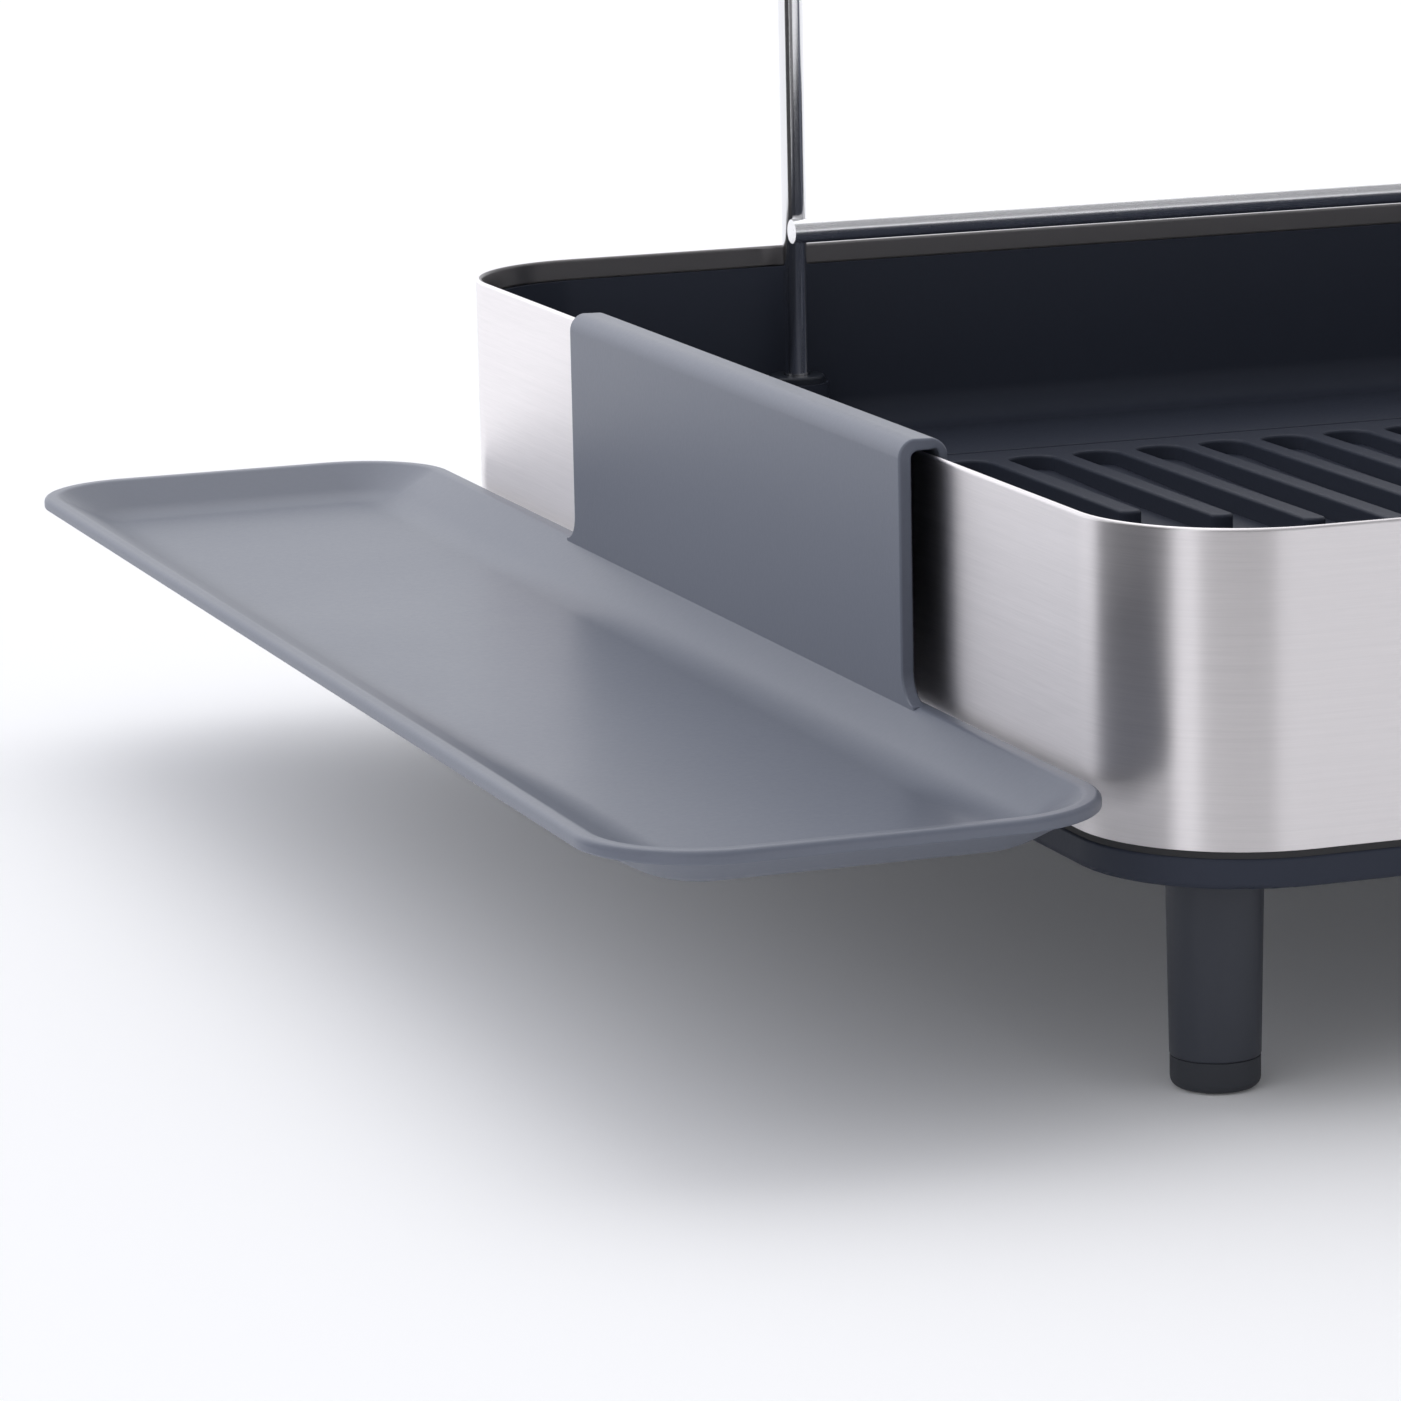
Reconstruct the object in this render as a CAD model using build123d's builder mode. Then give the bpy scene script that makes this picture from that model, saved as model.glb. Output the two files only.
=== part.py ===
from build123d import *
import os

# Dish drying rack: a ribbed plastic base tray wrapped in a steel band, standing on four legs, with
# a side tray hooked on its left rim, a wire rack with an upper tier that lifts out of four
# sockets, a cutlery holder, a drain strainer and a swivelling drain spout with a pull-out end.
#
# Millimetres, +Z up. The origin is on the surface the rack stands on, at the middle of the whole
# footprint, side tray included. Left is -X and front is -Y.

# ---- Rack body ----
rack_width = 453.0  # outside of the steel band, left to right
rack_depth = 351.0  # outside of the steel band, front to back
corner_radius = 27.5
underside_height = 35.0  # bottom of the base tray's lip
lip_height = 4.9
lip_under_round = 1.2
lip_edge_round = 0.5
seal_height = 1.1
seal_inset = 0.3  # from the outside of the band
band_height = 50.0
band_sheet = 0.6  # sheet steel of the band
hem_depth = 4.0  # how far the folded rim comes down inside
hem_gap = 0.2  # top of the plastic wall to the folded rim
rim_round = 0.54
band_gap = 0.1  # plastic wall to the steel around it
wall = 2.0  # plastic walls of the base tray
floor_rise = 16.6  # ledge of the floor above the tray's underside
floor_thickness = 2.5
cove_radius = 7.0  # wall to floor, inside
stiffener_thickness = 1.6
stiffener_over_spout = 6.0

# ---- Draining floor ----
ledge_width = 51.0  # flat border in front of and behind the ribbed field, from the outside of
# the band; at the sides it is this or more, so that the outermost grooves are as wide as the rest
step_inset = 42.0  # fine groove round the border, from the outside of the band
step_width = 1.2
step_depth = 0.5
step_radius = 12.0
groove_depth = 3.0  # at the border, deeper towards the drain
drain_fall = 2.4
bank_margin = 4.0  # the banks run on this far under the border
rib_pitch = 14.06
rib_width = 4.5
rib_tip_slope = 0.81  # how the rib tips run back from the middle channel
rib_tip_reach = 47.0  # length of the outermost ribs
channel_width = 48.0  # clear middle channel between the front and the back ribs
sump_width = 60.0
sump_depth = 44.0

# ---- Legs and feet ----
leg_inset = 19.4  # leg axis from the outside of the band
leg_top_radius = 7.7
leg_foot_radius = 7.2
leg_bore_radius = 4.6
leg_web = 7.0
leg_socket_depth = 8.0
leg_boss_wall = 2.6
leg_boss_lift = 0.4  # bosses end this much above the tray's underside
leg_hole_spare = 1.0  # screw holes beyond the screws' ends
leg_fit = 0.2
foot_height = 5.1
foot_step = 0.05  # the rubber stands this much inside the leg
foot_round = 1.3
foot_stem = 8.0
stem_clearance = 0.1
screw_radius = 2.0
screw_head_radius = 3.8
screw_head_height = 2.8
screw_head_round = 1.0
screw_length = 12.0
thread_clearance = 0.05

# ---- Side tray ----
side_width = 83.9
side_length = 366.5
side_radius = 20.4
side_gap = 1.6  # between the band and the side tray's near edge
side_shift = 6.3  # the side tray hangs this much behind the rack's middle
side_top = 50.5  # height of its lip
side_lip_width = 3.5
side_lip_height = 2.2
side_crest_round = 0.8
side_edge_round = 0.6
side_depth = 8.2
side_wall = 2.2
side_slope_run = 10.0  # how far its sloped sides come in
side_cove = 7.0
hook_width = 166.5
hook_shift = -5.1  # the hook plate against the rack's middle
hook_thickness = 2.3
hook_stand_off = 3.1  # hook plate to the band
hook_clearance = 0.7  # hook to the rim, above it and inside it
hook_lip = 1.4
hook_end_gap = 0.5  # hook's inner end to the plastic wall under it
hook_outer_radius = 3.3
hook_inner_radius = 1.0
hook_flare = 5.0

# ---- Wire rack ----
wire_radius = 2.5
thin_wire_radius = 2.0
rod_inset_x = 73.7  # rod axis from the band's left and right outsides
rod_inset_y = 8.7  # rod axis from the band's front and back outsides
rod_clearance = 0.2
collar_radius = 5.8
collar_thickness = 1.6
collar_top = 65.0
collar_round = 0.6
sleeve_wall = 1.4
sleeve_length = 10.0
sleeve_clearance = 0.1
sleeve_end_gap = 0.4
rod_end_gap = 0.3
socket_wall = 2.4
weld_gap = 0.1
wire_end_round = 0.8
rail_above_rim = 4.4  # rail axis over the folded rim
tier_height = 235.0  # axis of the upper tier's frame
tier_overhang = 11.7  # frame beyond the rods, each side
tier_radius = 12.0
cross_wire_pitch = 28.0
cross_wire_radius = 1.75
hoop_width = 50.0
hoop_height = 58.0
hoop_radius = 18.0
hoop_shift = 40.0  # hoops stand this much behind the rack's middle

# ---- Cutlery holder ----
holder_width = 50.0
holder_length = 170.0
holder_height = 108.0
holder_radius = 12.0
holder_wall = 2.0
holder_floor = 2.4
holder_gap = 3.0  # to the base tray's inner wall
holder_feet = 3.0
holder_foot_radius = 4.0
holder_foot_inset = 13.0
holder_base_round = 3.0
holder_rim_round = 0.8
holder_slot_width = 3.2
holder_slot_pitch = 9.0
holder_shift = 12.0
divider_thickness = 2.0
divider_clearance = 0.4
divider_drop = 14.0  # divider's top below the holder's rim
divider_brace = 18.0  # height of the low plate that joins the two dividers

# ---- Drain, strainer and spout ----
drain_radius = 14.0
spigot_wall = 3.0
spigot_bottom = 23.6
spout_play = 0.3
hub_wall = 4.0
hub_height = 9.5
hub_top = 37.5
washer_play = 0.3
washer_inset = 0.8
ring_clearance = 0.05  # washer and retainer around the spigot
retainer_gap = 0.3  # to the spout's hub over it
retainer_rim = 2.4
retainer_round = 0.5
retainer_side_gap = 0.6
cup_wall = 2.4
cup_bottom = 12.0
cup_round = 1.0
spout_inner_width = 24.0
spout_wall = 2.0
spout_floor = 2.0
spout_top = 24.0
spout_length = 172.0  # from the drain's axis
extension_play = 0.3
extension_wall = 1.6
extension_drop = 1.5  # its top below the arm's top
extension_start = 108.0
extension_inset = 6.0  # end of the pull-out piece inside the rack's right outside
strainer_flange = 5.0
strainer_thickness = 1.4
strainer_lift = 0.3  # flange over the sump
strainer_round = 0.6
strainer_skirt = 7.0
strainer_play = 0.4
strainer_wall = 1.6
strainer_slots = 12
strainer_slot_ring = 8.4
strainer_slot_length = 6.5
strainer_slot_width = 1.8
knob_radius = 4.0
knob_height = 9.0
knob_neck_radius = 2.4
knob_head_height = 3.6
knob_round = 1.0

# ---- Levels and places that follow from the sizes ----
rim_height = underside_height + lip_height + seal_height + band_height
band_bottom = rim_height - band_height
lip_top = underside_height + lip_height
floor_top = underside_height + floor_rise
floor_under = floor_top - floor_thickness
wall_top = rim_height - hem_depth - hem_gap
wall_outside = band_sheet + band_gap
wall_inside = wall_outside + wall

side_reach = side_gap + side_width
rack_x = side_reach / 2
front_end = min(-rack_depth / 2, side_shift - side_length / 2)
back_end = max(rack_depth / 2, side_shift + side_length / 2)
rack_y = -(front_end + back_end) / 2
rack_left = rack_x - rack_width / 2
corner_signs = {
    "front_left": (-1, -1),
    "front_right": (1, -1),
    "back_left": (-1, 1),
    "back_right": (1, 1),
}


def level(height, x=rack_x, y=rack_y):
    """A horizontal work plane at a height, by default centred on the rack body."""
    return Plane(origin=(x, y, height))


def inset_outline(inset, mode=Mode.ADD):
    """The rack's rounded outline, drawn this far inside the steel band's outside."""
    width, depth = rack_width - 2 * inset, rack_depth - 2 * inset
    RectangleRounded(width, depth, corner_radius - inset, mode=mode)


def finish(part, name):
    """Label a finished piece and write its file."""
    part.label = name
    export_step(part, f"parts/{name}.step")


os.makedirs("parts", exist_ok=True)

# ---- Recess of the draining floor ----
# The floor falls from a flat border to the sump as four plane banks. The ribs stay level with the
# border, and their tips run diagonally to a clear channel in the middle.
field_half_y = rack_depth / 2 - ledge_width
rib_count_half = int((rack_width / 2 - ledge_width + rib_width / 2) / rib_pitch) - 1
field_half_x = (rib_count_half + 1) * rib_pitch - rib_width / 2  # half a rib more each side
recess_top = floor_top - groove_depth
sump_level = recess_top - drain_fall


def rib_length(offset):
    """Length of the rib that stands this far from the rack's middle, tip included."""
    outermost = rib_count_half * rib_pitch
    diagonal = rib_tip_reach + rib_tip_slope * (outermost - abs(offset))
    return min(diagonal, field_half_y - channel_width / 2)


def funnel_section(half_run, half_sump, drop, top):
    """A section of the floor's funnel: upright ends, and two banks that fall to the sump."""
    Polygon(
        (-half_run, top),
        (-half_run, recess_top - drop),
        (-half_sump, sump_level - drop),
        (half_sump, sump_level - drop),
        (half_run, recess_top - drop),
        (half_run, top),
        align=None,
    )


def across_plane(reach):
    """Upright work plane facing front, this far behind the rack's middle."""
    return Plane(origin=(rack_x, rack_y + reach, 0), x_dir=(1, 0, 0), z_dir=(0, -1, 0))


def along_plane(reach):
    """Upright work plane facing right, this far left of the rack's middle."""
    return Plane(origin=(rack_x - reach, rack_y, 0), x_dir=(0, 1, 0), z_dir=(1, 0, 0))


shell_half_x = field_half_x + bank_margin
shell_half_y = field_half_y + bank_margin
shell_top = floor_top - floor_thickness / 2

with BuildPart() as bank_shell:
    with BuildSketch(across_plane(shell_half_y)):
        funnel_section(shell_half_x, sump_width / 2, floor_thickness, shell_top)
    extrude(amount=2 * shell_half_y)
    with BuildSketch(along_plane(shell_half_x)):
        funnel_section(shell_half_y, sump_depth / 2, floor_thickness, shell_top)
    extrude(amount=2 * shell_half_x, mode=Mode.INTERSECT)

with BuildPart() as recess:
    with BuildSketch(across_plane(field_half_y)):
        funnel_section(field_half_x, sump_width / 2, 0, floor_top + 1)
    extrude(amount=2 * field_half_y)
    with BuildSketch(along_plane(field_half_x)):
        funnel_section(field_half_y, sump_depth / 2, 0, floor_top + 1)
    extrude(amount=2 * field_half_x, mode=Mode.INTERSECT)
    with BuildSketch(level(sump_level - 1)):
        for index in range(-rib_count_half, rib_count_half + 1):
            x = index * rib_pitch
            length = rib_length(x)
            for side in (-1, 1):
                with Locations((x, side * (field_half_y - length / 2 + rib_width / 2))):
                    SlotOverall(length + rib_width, rib_width, rotation=90)
    extrude(amount=groove_depth + drain_fall + 3, mode=Mode.SUBTRACT)

# ---- Base tray ----
leg_socket_radius = leg_top_radius + leg_fit
leg_seat = underside_height + leg_socket_depth
leg_span_x = rack_width - 2 * leg_inset
leg_span_y = rack_depth - 2 * leg_inset
rod_span_x = rack_width - 2 * rod_inset_x
rod_span_y = rack_depth - 2 * rod_inset_y
sleeve_radius = wire_radius + rod_clearance + sleeve_wall
sleeve_bottom = collar_top - collar_thickness - sleeve_length
socket_radius = sleeve_radius + sleeve_clearance
socket_top = collar_top - collar_thickness
spigot_radius = drain_radius + spigot_wall
screw_hole_radius = screw_radius + thread_clearance
stiffener_bottom = hub_top + stiffener_over_spout

with BuildPart() as base_tray:
    with BuildSketch(level(underside_height)):
        inset_outline(0)
    extrude(amount=lip_height)
    fillet(base_tray.edges().group_by(Axis.Z)[0], lip_under_round)
    fillet(base_tray.edges().group_by(Axis.Z)[-1], lip_edge_round)
    with BuildSketch(level(lip_top)):
        inset_outline(wall_outside)
    extrude(amount=wall_top - lip_top)
    with BuildSketch(level(floor_top)):
        inset_outline(wall_inside)
    extrude(amount=wall_top - floor_top, mode=Mode.SUBTRACT)
    cove = base_tray.edges().filter_by_position(Axis.Z, floor_top - 0.01, floor_top + 0.01)
    fillet(cove, cove_radius)
    with BuildSketch(level(underside_height)):
        inset_outline(wall_inside)
    extrude(amount=floor_under - underside_height, mode=Mode.SUBTRACT)
    add(bank_shell.part)
    # Leg bosses under the floor
    with BuildSketch(level(underside_height + leg_boss_lift)):
        with GridLocations(leg_span_x, leg_span_y, 2, 2):
            Circle(leg_socket_radius + leg_boss_wall)
    extrude(amount=floor_under - underside_height - leg_boss_lift)
    # Rod sockets on the border
    with BuildSketch(level(floor_under)):
        with GridLocations(rod_span_x, rod_span_y, 2, 2):
            Circle(socket_radius + socket_wall)
    extrude(amount=socket_top - floor_under)
    # Drain spigot
    with BuildSketch(level(spigot_bottom)):
        Circle(spigot_radius)
    extrude(amount=sump_level - floor_thickness - spigot_bottom)
    # Stiffening ribs under the floor, clear of the spout
    with BuildSketch(level(stiffener_bottom)):
        with GridLocations(leg_span_x / 3, 1, 4, 1):
            Rectangle(stiffener_thickness, rack_depth)
        with GridLocations(1, leg_span_y / 2, 1, 2):
            Rectangle(rack_width, stiffener_thickness)
        inset_outline(wall_outside + wall / 2, mode=Mode.INTERSECT)
    extrude(amount=floor_top - floor_thickness / 2 - stiffener_bottom)
    add(recess.part, mode=Mode.SUBTRACT)
    # Fine groove round the border
    with BuildSketch(level(floor_top)):
        RectangleRounded(rack_width - 2 * step_inset, rack_depth - 2 * step_inset, step_radius)
        RectangleRounded(
            rack_width - 2 * (step_inset + step_width),
            rack_depth - 2 * (step_inset + step_width),
            step_radius - step_width,
            mode=Mode.SUBTRACT,
        )
    extrude(amount=-step_depth, mode=Mode.SUBTRACT)
    # Holes: drain, rod sockets, leg sockets and their screws
    with BuildSketch(level(spigot_bottom)):
        Circle(drain_radius)
    extrude(amount=floor_top - spigot_bottom, mode=Mode.SUBTRACT)
    with BuildSketch(level(sleeve_bottom)):
        with GridLocations(rod_span_x, rod_span_y, 2, 2):
            Circle(socket_radius)
    extrude(amount=socket_top - sleeve_bottom, mode=Mode.SUBTRACT)
    with BuildSketch(level(underside_height)):
        with GridLocations(leg_span_x, leg_span_y, 2, 2):
            Circle(leg_socket_radius)
    extrude(amount=leg_socket_depth, mode=Mode.SUBTRACT)
    with BuildSketch(level(leg_seat)):
        with GridLocations(leg_span_x, leg_span_y, 2, 2):
            Circle(screw_hole_radius)
    extrude(amount=screw_length - leg_web + leg_hole_spare, mode=Mode.SUBTRACT)
finish(base_tray.part, "base_tray")

# ---- Steel band and its seal ----
with BuildPart() as steel_band:
    with BuildSketch(level(band_bottom)):
        inset_outline(0)
        RectangleRounded(
            rack_width - 2 * band_sheet,
            rack_depth - 2 * band_sheet,
            corner_radius - band_sheet,
            mode=Mode.SUBTRACT,
        )
    extrude(amount=band_height)
    with BuildSketch(level(rim_height - hem_depth)):
        inset_outline(0)
        RectangleRounded(
            rack_width - 4 * band_sheet,
            rack_depth - 4 * band_sheet,
            corner_radius - 2 * band_sheet,
            mode=Mode.SUBTRACT,
        )
    extrude(amount=hem_depth)
    fillet(steel_band.edges().group_by(Axis.Z)[-1], rim_round)
finish(steel_band.part, "steel_band")

with BuildPart() as band_seal:
    with BuildSketch(level(lip_top)):
        inset_outline(seal_inset)
        RectangleRounded(
            rack_width - 2 * (wall_outside - band_gap / 2),
            rack_depth - 2 * (wall_outside - band_gap / 2),
            corner_radius - wall_outside + band_gap / 2,
            mode=Mode.SUBTRACT,
        )
    extrude(amount=seal_height)
finish(band_seal.part, "band_seal")

# ---- Legs, screws and rubber feet ----
for place, (sign_x, sign_y) in corner_signs.items():
    leg_x = rack_x + sign_x * leg_span_x / 2
    leg_y = rack_y + sign_y * leg_span_y / 2
    with BuildPart() as leg:
        with BuildSketch(level(foot_height, leg_x, leg_y)):
            Circle(leg_foot_radius)
        with BuildSketch(level(underside_height, leg_x, leg_y)):
            Circle(leg_top_radius)
        loft()
        with BuildSketch(level(underside_height, leg_x, leg_y)):
            Circle(leg_top_radius)
        extrude(amount=leg_socket_depth)
        with BuildSketch(level(foot_height, leg_x, leg_y)):
            Circle(leg_bore_radius)
        extrude(amount=leg_seat - leg_web - foot_height, mode=Mode.SUBTRACT)
        with BuildSketch(level(foot_height, leg_x, leg_y)):
            Circle(screw_hole_radius)
        extrude(amount=leg_seat - foot_height, mode=Mode.SUBTRACT)
    finish(leg.part, f"leg_{place}")

    with BuildPart() as foot:
        with BuildSketch(level(0, leg_x, leg_y)):
            Circle(leg_foot_radius - foot_step)
        extrude(amount=foot_height)
        fillet(foot.edges().group_by(Axis.Z)[0], foot_round)
        with BuildSketch(level(foot_height, leg_x, leg_y)):
            Circle(leg_bore_radius - stem_clearance)
        extrude(amount=foot_stem)
    finish(foot.part, f"foot_{place}")

with BuildPart() as leg_screws:
    with BuildSketch(level(leg_seat - leg_web - screw_head_height)):
        with GridLocations(leg_span_x, leg_span_y, 2, 2):
            Circle(screw_head_radius)
    extrude(amount=screw_head_height)
    fillet(leg_screws.edges().group_by(Axis.Z)[0], screw_head_round)
    with BuildSketch(level(leg_seat - leg_web)):
        with GridLocations(leg_span_x, leg_span_y, 2, 2):
            Circle(screw_radius)
    extrude(amount=screw_length)
finish(leg_screws.part, "leg_screws")

# ---- Side tray with its hook ----
side_x = rack_left - side_gap - side_width / 2
side_y = rack_y + side_shift
side_under = side_top - side_lip_height
side_floor = side_top - side_depth + side_wall
hook_y = rack_y + hook_shift
hook_outside = rack_left - hook_stand_off - hook_thickness
hook_inside = rack_left + 2 * band_sheet + hook_clearance
hook_ceiling = rim_height + hook_clearance
hook_top = hook_ceiling + hook_thickness
hook_end = wall_top + hook_end_gap


def side_outline(inset):
    """The side tray's rounded outline, drawn this far inside its edge."""
    RectangleRounded(side_width - 2 * inset, side_length - 2 * inset, side_radius - inset)


with BuildPart() as side_tray:
    with BuildSketch(level(side_under, side_x, side_y)):
        side_outline(0)
    extrude(amount=side_lip_height)
    fillet(side_tray.edges().group_by(Axis.Z)[-1], side_crest_round)
    fillet(side_tray.edges().group_by(Axis.Z)[0], side_edge_round)
    with BuildSketch(level(side_under, side_x, side_y)):
        side_outline(side_wall)
    with BuildSketch(level(side_top - side_depth, side_x, side_y)):
        side_outline(side_wall + side_slope_run)
    loft()
    fillet(side_tray.edges().group_by(Axis.Z)[0], side_cove)
    hook_plane = Plane(origin=(0, hook_y + hook_width / 2, 0), x_dir=(1, 0, 0), z_dir=(0, -1, 0))
    with BuildSketch(hook_plane) as hook:
        with BuildLine():
            Polyline(
                (hook_outside, side_under),
                (hook_outside, hook_top),
                (hook_inside + hook_lip, hook_top),
                (hook_inside + hook_lip, hook_end),
                (hook_inside, hook_end),
                (hook_inside, hook_ceiling),
                (hook_outside + hook_thickness, hook_ceiling),
                (hook_outside + hook_thickness, side_under),
                close=True,
            )
        make_face()
        fillet(hook.vertices().group_by(Axis.Y)[-1], hook_outer_radius)
        ceiling_corners = hook.vertices().filter_by(lambda v: abs(v.Y - hook_ceiling) < 0.01)
        fillet(ceiling_corners, hook_inner_radius)
    extrude(amount=hook_width)
    foot_edges = side_tray.edges().filter_by(Axis.X).filter_by(
        lambda e: abs(e.center().Z - side_top) < 0.01 and abs(e.center().Y - hook_y) < hook_width / 2 + 1
    )
    fillet(foot_edges, hook_flare)
    with BuildSketch(level(side_top, side_x, side_y)):
        side_outline(side_lip_width)
    with BuildSketch(level(side_floor, side_x, side_y)):
        side_outline(side_lip_width + side_slope_run)
    loft(mode=Mode.SUBTRACT)
    dish_corners = side_tray.edges().filter_by(lambda e: abs(e.center().Z - side_floor) < 0.01)
    fillet(dish_corners, side_cove)
finish(side_tray.part, "side_tray")

# ---- Rod collars ----
for place, (sign_x, sign_y) in corner_signs.items():
    rod_x = rack_x + sign_x * rod_span_x / 2
    rod_y = rack_y + sign_y * rod_span_y / 2
    with BuildPart() as collar:
        with BuildSketch(level(socket_top, rod_x, rod_y)):
            Circle(collar_radius)
        extrude(amount=collar_thickness)
        fillet(collar.edges().group_by(Axis.Z)[-1], collar_round)
        with BuildSketch(level(socket_top, rod_x, rod_y)):
            Circle(sleeve_radius)
        extrude(amount=sleeve_end_gap - sleeve_length)
        with BuildSketch(level(sleeve_bottom, rod_x, rod_y)):
            Circle(wire_radius + rod_clearance)
        extrude(amount=collar_top - sleeve_bottom, mode=Mode.SUBTRACT)
    finish(collar.part, f"collar_{place}")

# ---- Wire rack: rods, rails, tier frame, cross wires and plate hoops ----
rod_bottom = sleeve_bottom + rod_end_gap
tier_width = rod_span_x + 2 * tier_overhang
cross_wires_half = int((tier_width - cross_wire_pitch) / (2 * cross_wire_pitch))
hoops_half = cross_wires_half - 1

for place, (sign_x, sign_y) in corner_signs.items():
    rod_x = rack_x + sign_x * rod_span_x / 2
    rod_y = rack_y + sign_y * rod_span_y / 2
    with BuildPart() as rod:
        with BuildSketch(level(rod_bottom, rod_x, rod_y)):
            Circle(wire_radius)
        extrude(amount=tier_height - wire_radius - weld_gap - rod_bottom)
        fillet(rod.edges().group_by(Axis.Z)[0], wire_end_round)
    finish(rod.part, f"rod_{place}")

# The rails lie against the inner sides of the rods, just above the rim.
for place, sign_y in (("front", -1), ("back", 1)):
    rail_y = rack_y + sign_y * (rod_span_y / 2 - 2 * wire_radius - weld_gap)
    rail_length = rod_span_x + 2 * wire_radius
    rail_start = Plane(
        origin=(rack_x - rail_length / 2, rail_y, rim_height + rail_above_rim), z_dir=(1, 0, 0)
    )
    with BuildPart() as rail:
        with BuildSketch(rail_start):
            Circle(wire_radius)
        extrude(amount=rail_length)
        fillet(rail.edges().group_by(Axis.X)[0], wire_end_round)
        fillet(rail.edges().group_by(Axis.X)[-1], wire_end_round)
    finish(rail.part, f"rail_{place}")

with BuildPart() as tier_frame:
    with BuildLine(level(tier_height)):
        half_x = tier_width / 2
        half_y = rod_span_y / 2
        tier_path = FilletPolyline(
            (half_x, -half_y),
            (half_x, half_y),
            (-half_x, half_y),
            (-half_x, -half_y),
            radius=tier_radius,
            close=True,
        )
    with BuildSketch(Plane(origin=tier_path @ 0, z_dir=tier_path % 0)):
        Circle(wire_radius)
    sweep()
finish(tier_frame.part, "tier_frame")

cross_wire_height = tier_height + wire_radius + cross_wire_radius + weld_gap
cross_wire_length = rod_span_y + 2 * wire_radius
for index in range(-cross_wires_half, cross_wires_half + 1):
    wire_start = Plane(
        origin=(
            rack_x + index * cross_wire_pitch,
            rack_y - cross_wire_length / 2,
            cross_wire_height,
        ),
        z_dir=(0, 1, 0),
    )
    with BuildPart() as cross_wire:
        with BuildSketch(wire_start):
            Circle(cross_wire_radius)
        extrude(amount=cross_wire_length)
        fillet(cross_wire.edges().group_by(Axis.Y)[0], wire_end_round)
        fillet(cross_wire.edges().group_by(Axis.Y)[-1], wire_end_round)
    finish(cross_wire.part, f"cross_wire_{index + cross_wires_half + 1:02d}")

hoop_foot = cross_wire_height + cross_wire_radius + weld_gap
for index in range(-hoops_half, hoops_half + 1):
    hoop_x = rack_x + index * cross_wire_pitch
    hoop_y = rack_y + hoop_shift
    with BuildPart() as hoop:
        with BuildLine(Plane(origin=(hoop_x, hoop_y, hoop_foot), x_dir=(0, 1, 0), z_dir=(1, 0, 0))):
            hoop_path = FilletPolyline(
                (-hoop_width / 2, 0),
                (-hoop_width / 2, hoop_height),
                (hoop_width / 2, hoop_height),
                (hoop_width / 2, 0),
                radius=hoop_radius,
            )
        with BuildSketch(Plane(origin=hoop_path @ 0, z_dir=hoop_path % 0)):
            Circle(thin_wire_radius)
        sweep()
    finish(hoop.part, f"plate_hoop_{index + hoops_half + 1}")

# ---- Cutlery holder and its divider ----
holder_x = rack_x + rack_width / 2 - wall_inside - holder_gap - holder_width / 2
holder_y = rack_y - holder_shift
holder_bottom = floor_top + weld_gap
holder_top = holder_bottom + holder_height


def holder_outline(inset):
    """The cutlery holder's rounded outline, drawn this far inside its outside."""
    RectangleRounded(holder_width - 2 * inset, holder_length - 2 * inset, holder_radius - inset)


with BuildPart() as cutlery_holder:
    with BuildSketch(level(holder_bottom + holder_feet, holder_x, holder_y)):
        holder_outline(0)
    extrude(amount=holder_height - holder_feet)
    fillet(cutlery_holder.edges().group_by(Axis.Z)[0], holder_base_round)
    with BuildSketch(level(holder_bottom, holder_x, holder_y)):
        with GridLocations(
            holder_width - 2 * holder_foot_inset, holder_length - 2 * holder_foot_inset, 2, 2
        ):
            Circle(holder_foot_radius)
    extrude(amount=holder_feet + holder_floor / 2)
    with BuildSketch(level(holder_bottom + holder_feet + holder_floor, holder_x, holder_y)):
        holder_outline(holder_wall)
    extrude(amount=holder_height, mode=Mode.SUBTRACT)
    fillet(cutlery_holder.edges().group_by(Axis.Z)[-1], holder_rim_round)
    slot_count = int((holder_length - 2 * holder_radius) / holder_slot_pitch) - 1
    with BuildSketch(level(holder_bottom + holder_feet, holder_x, holder_y)):
        with GridLocations(1, holder_slot_pitch, 1, slot_count):
            SlotOverall(holder_width - 2 * holder_radius, holder_slot_width)
    extrude(amount=holder_floor, mode=Mode.SUBTRACT)
finish(cutlery_holder.part, "cutlery_holder")

divider_bottom = holder_bottom + holder_feet + holder_floor + weld_gap
divider_width = holder_width - 2 * (holder_wall + divider_clearance)
divider_spacing = (holder_length - 2 * holder_wall) / 3
with BuildPart() as holder_divider:
    with BuildSketch(level(divider_bottom, holder_x, holder_y)):
        with GridLocations(1, divider_spacing, 1, 2):
            Rectangle(divider_width, divider_thickness)
    extrude(amount=holder_top - divider_drop - divider_bottom)
    with BuildSketch(level(divider_bottom, holder_x, holder_y)):
        Rectangle(divider_thickness, divider_spacing)
    extrude(amount=divider_brace)
finish(holder_divider.part, "holder_divider")

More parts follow.
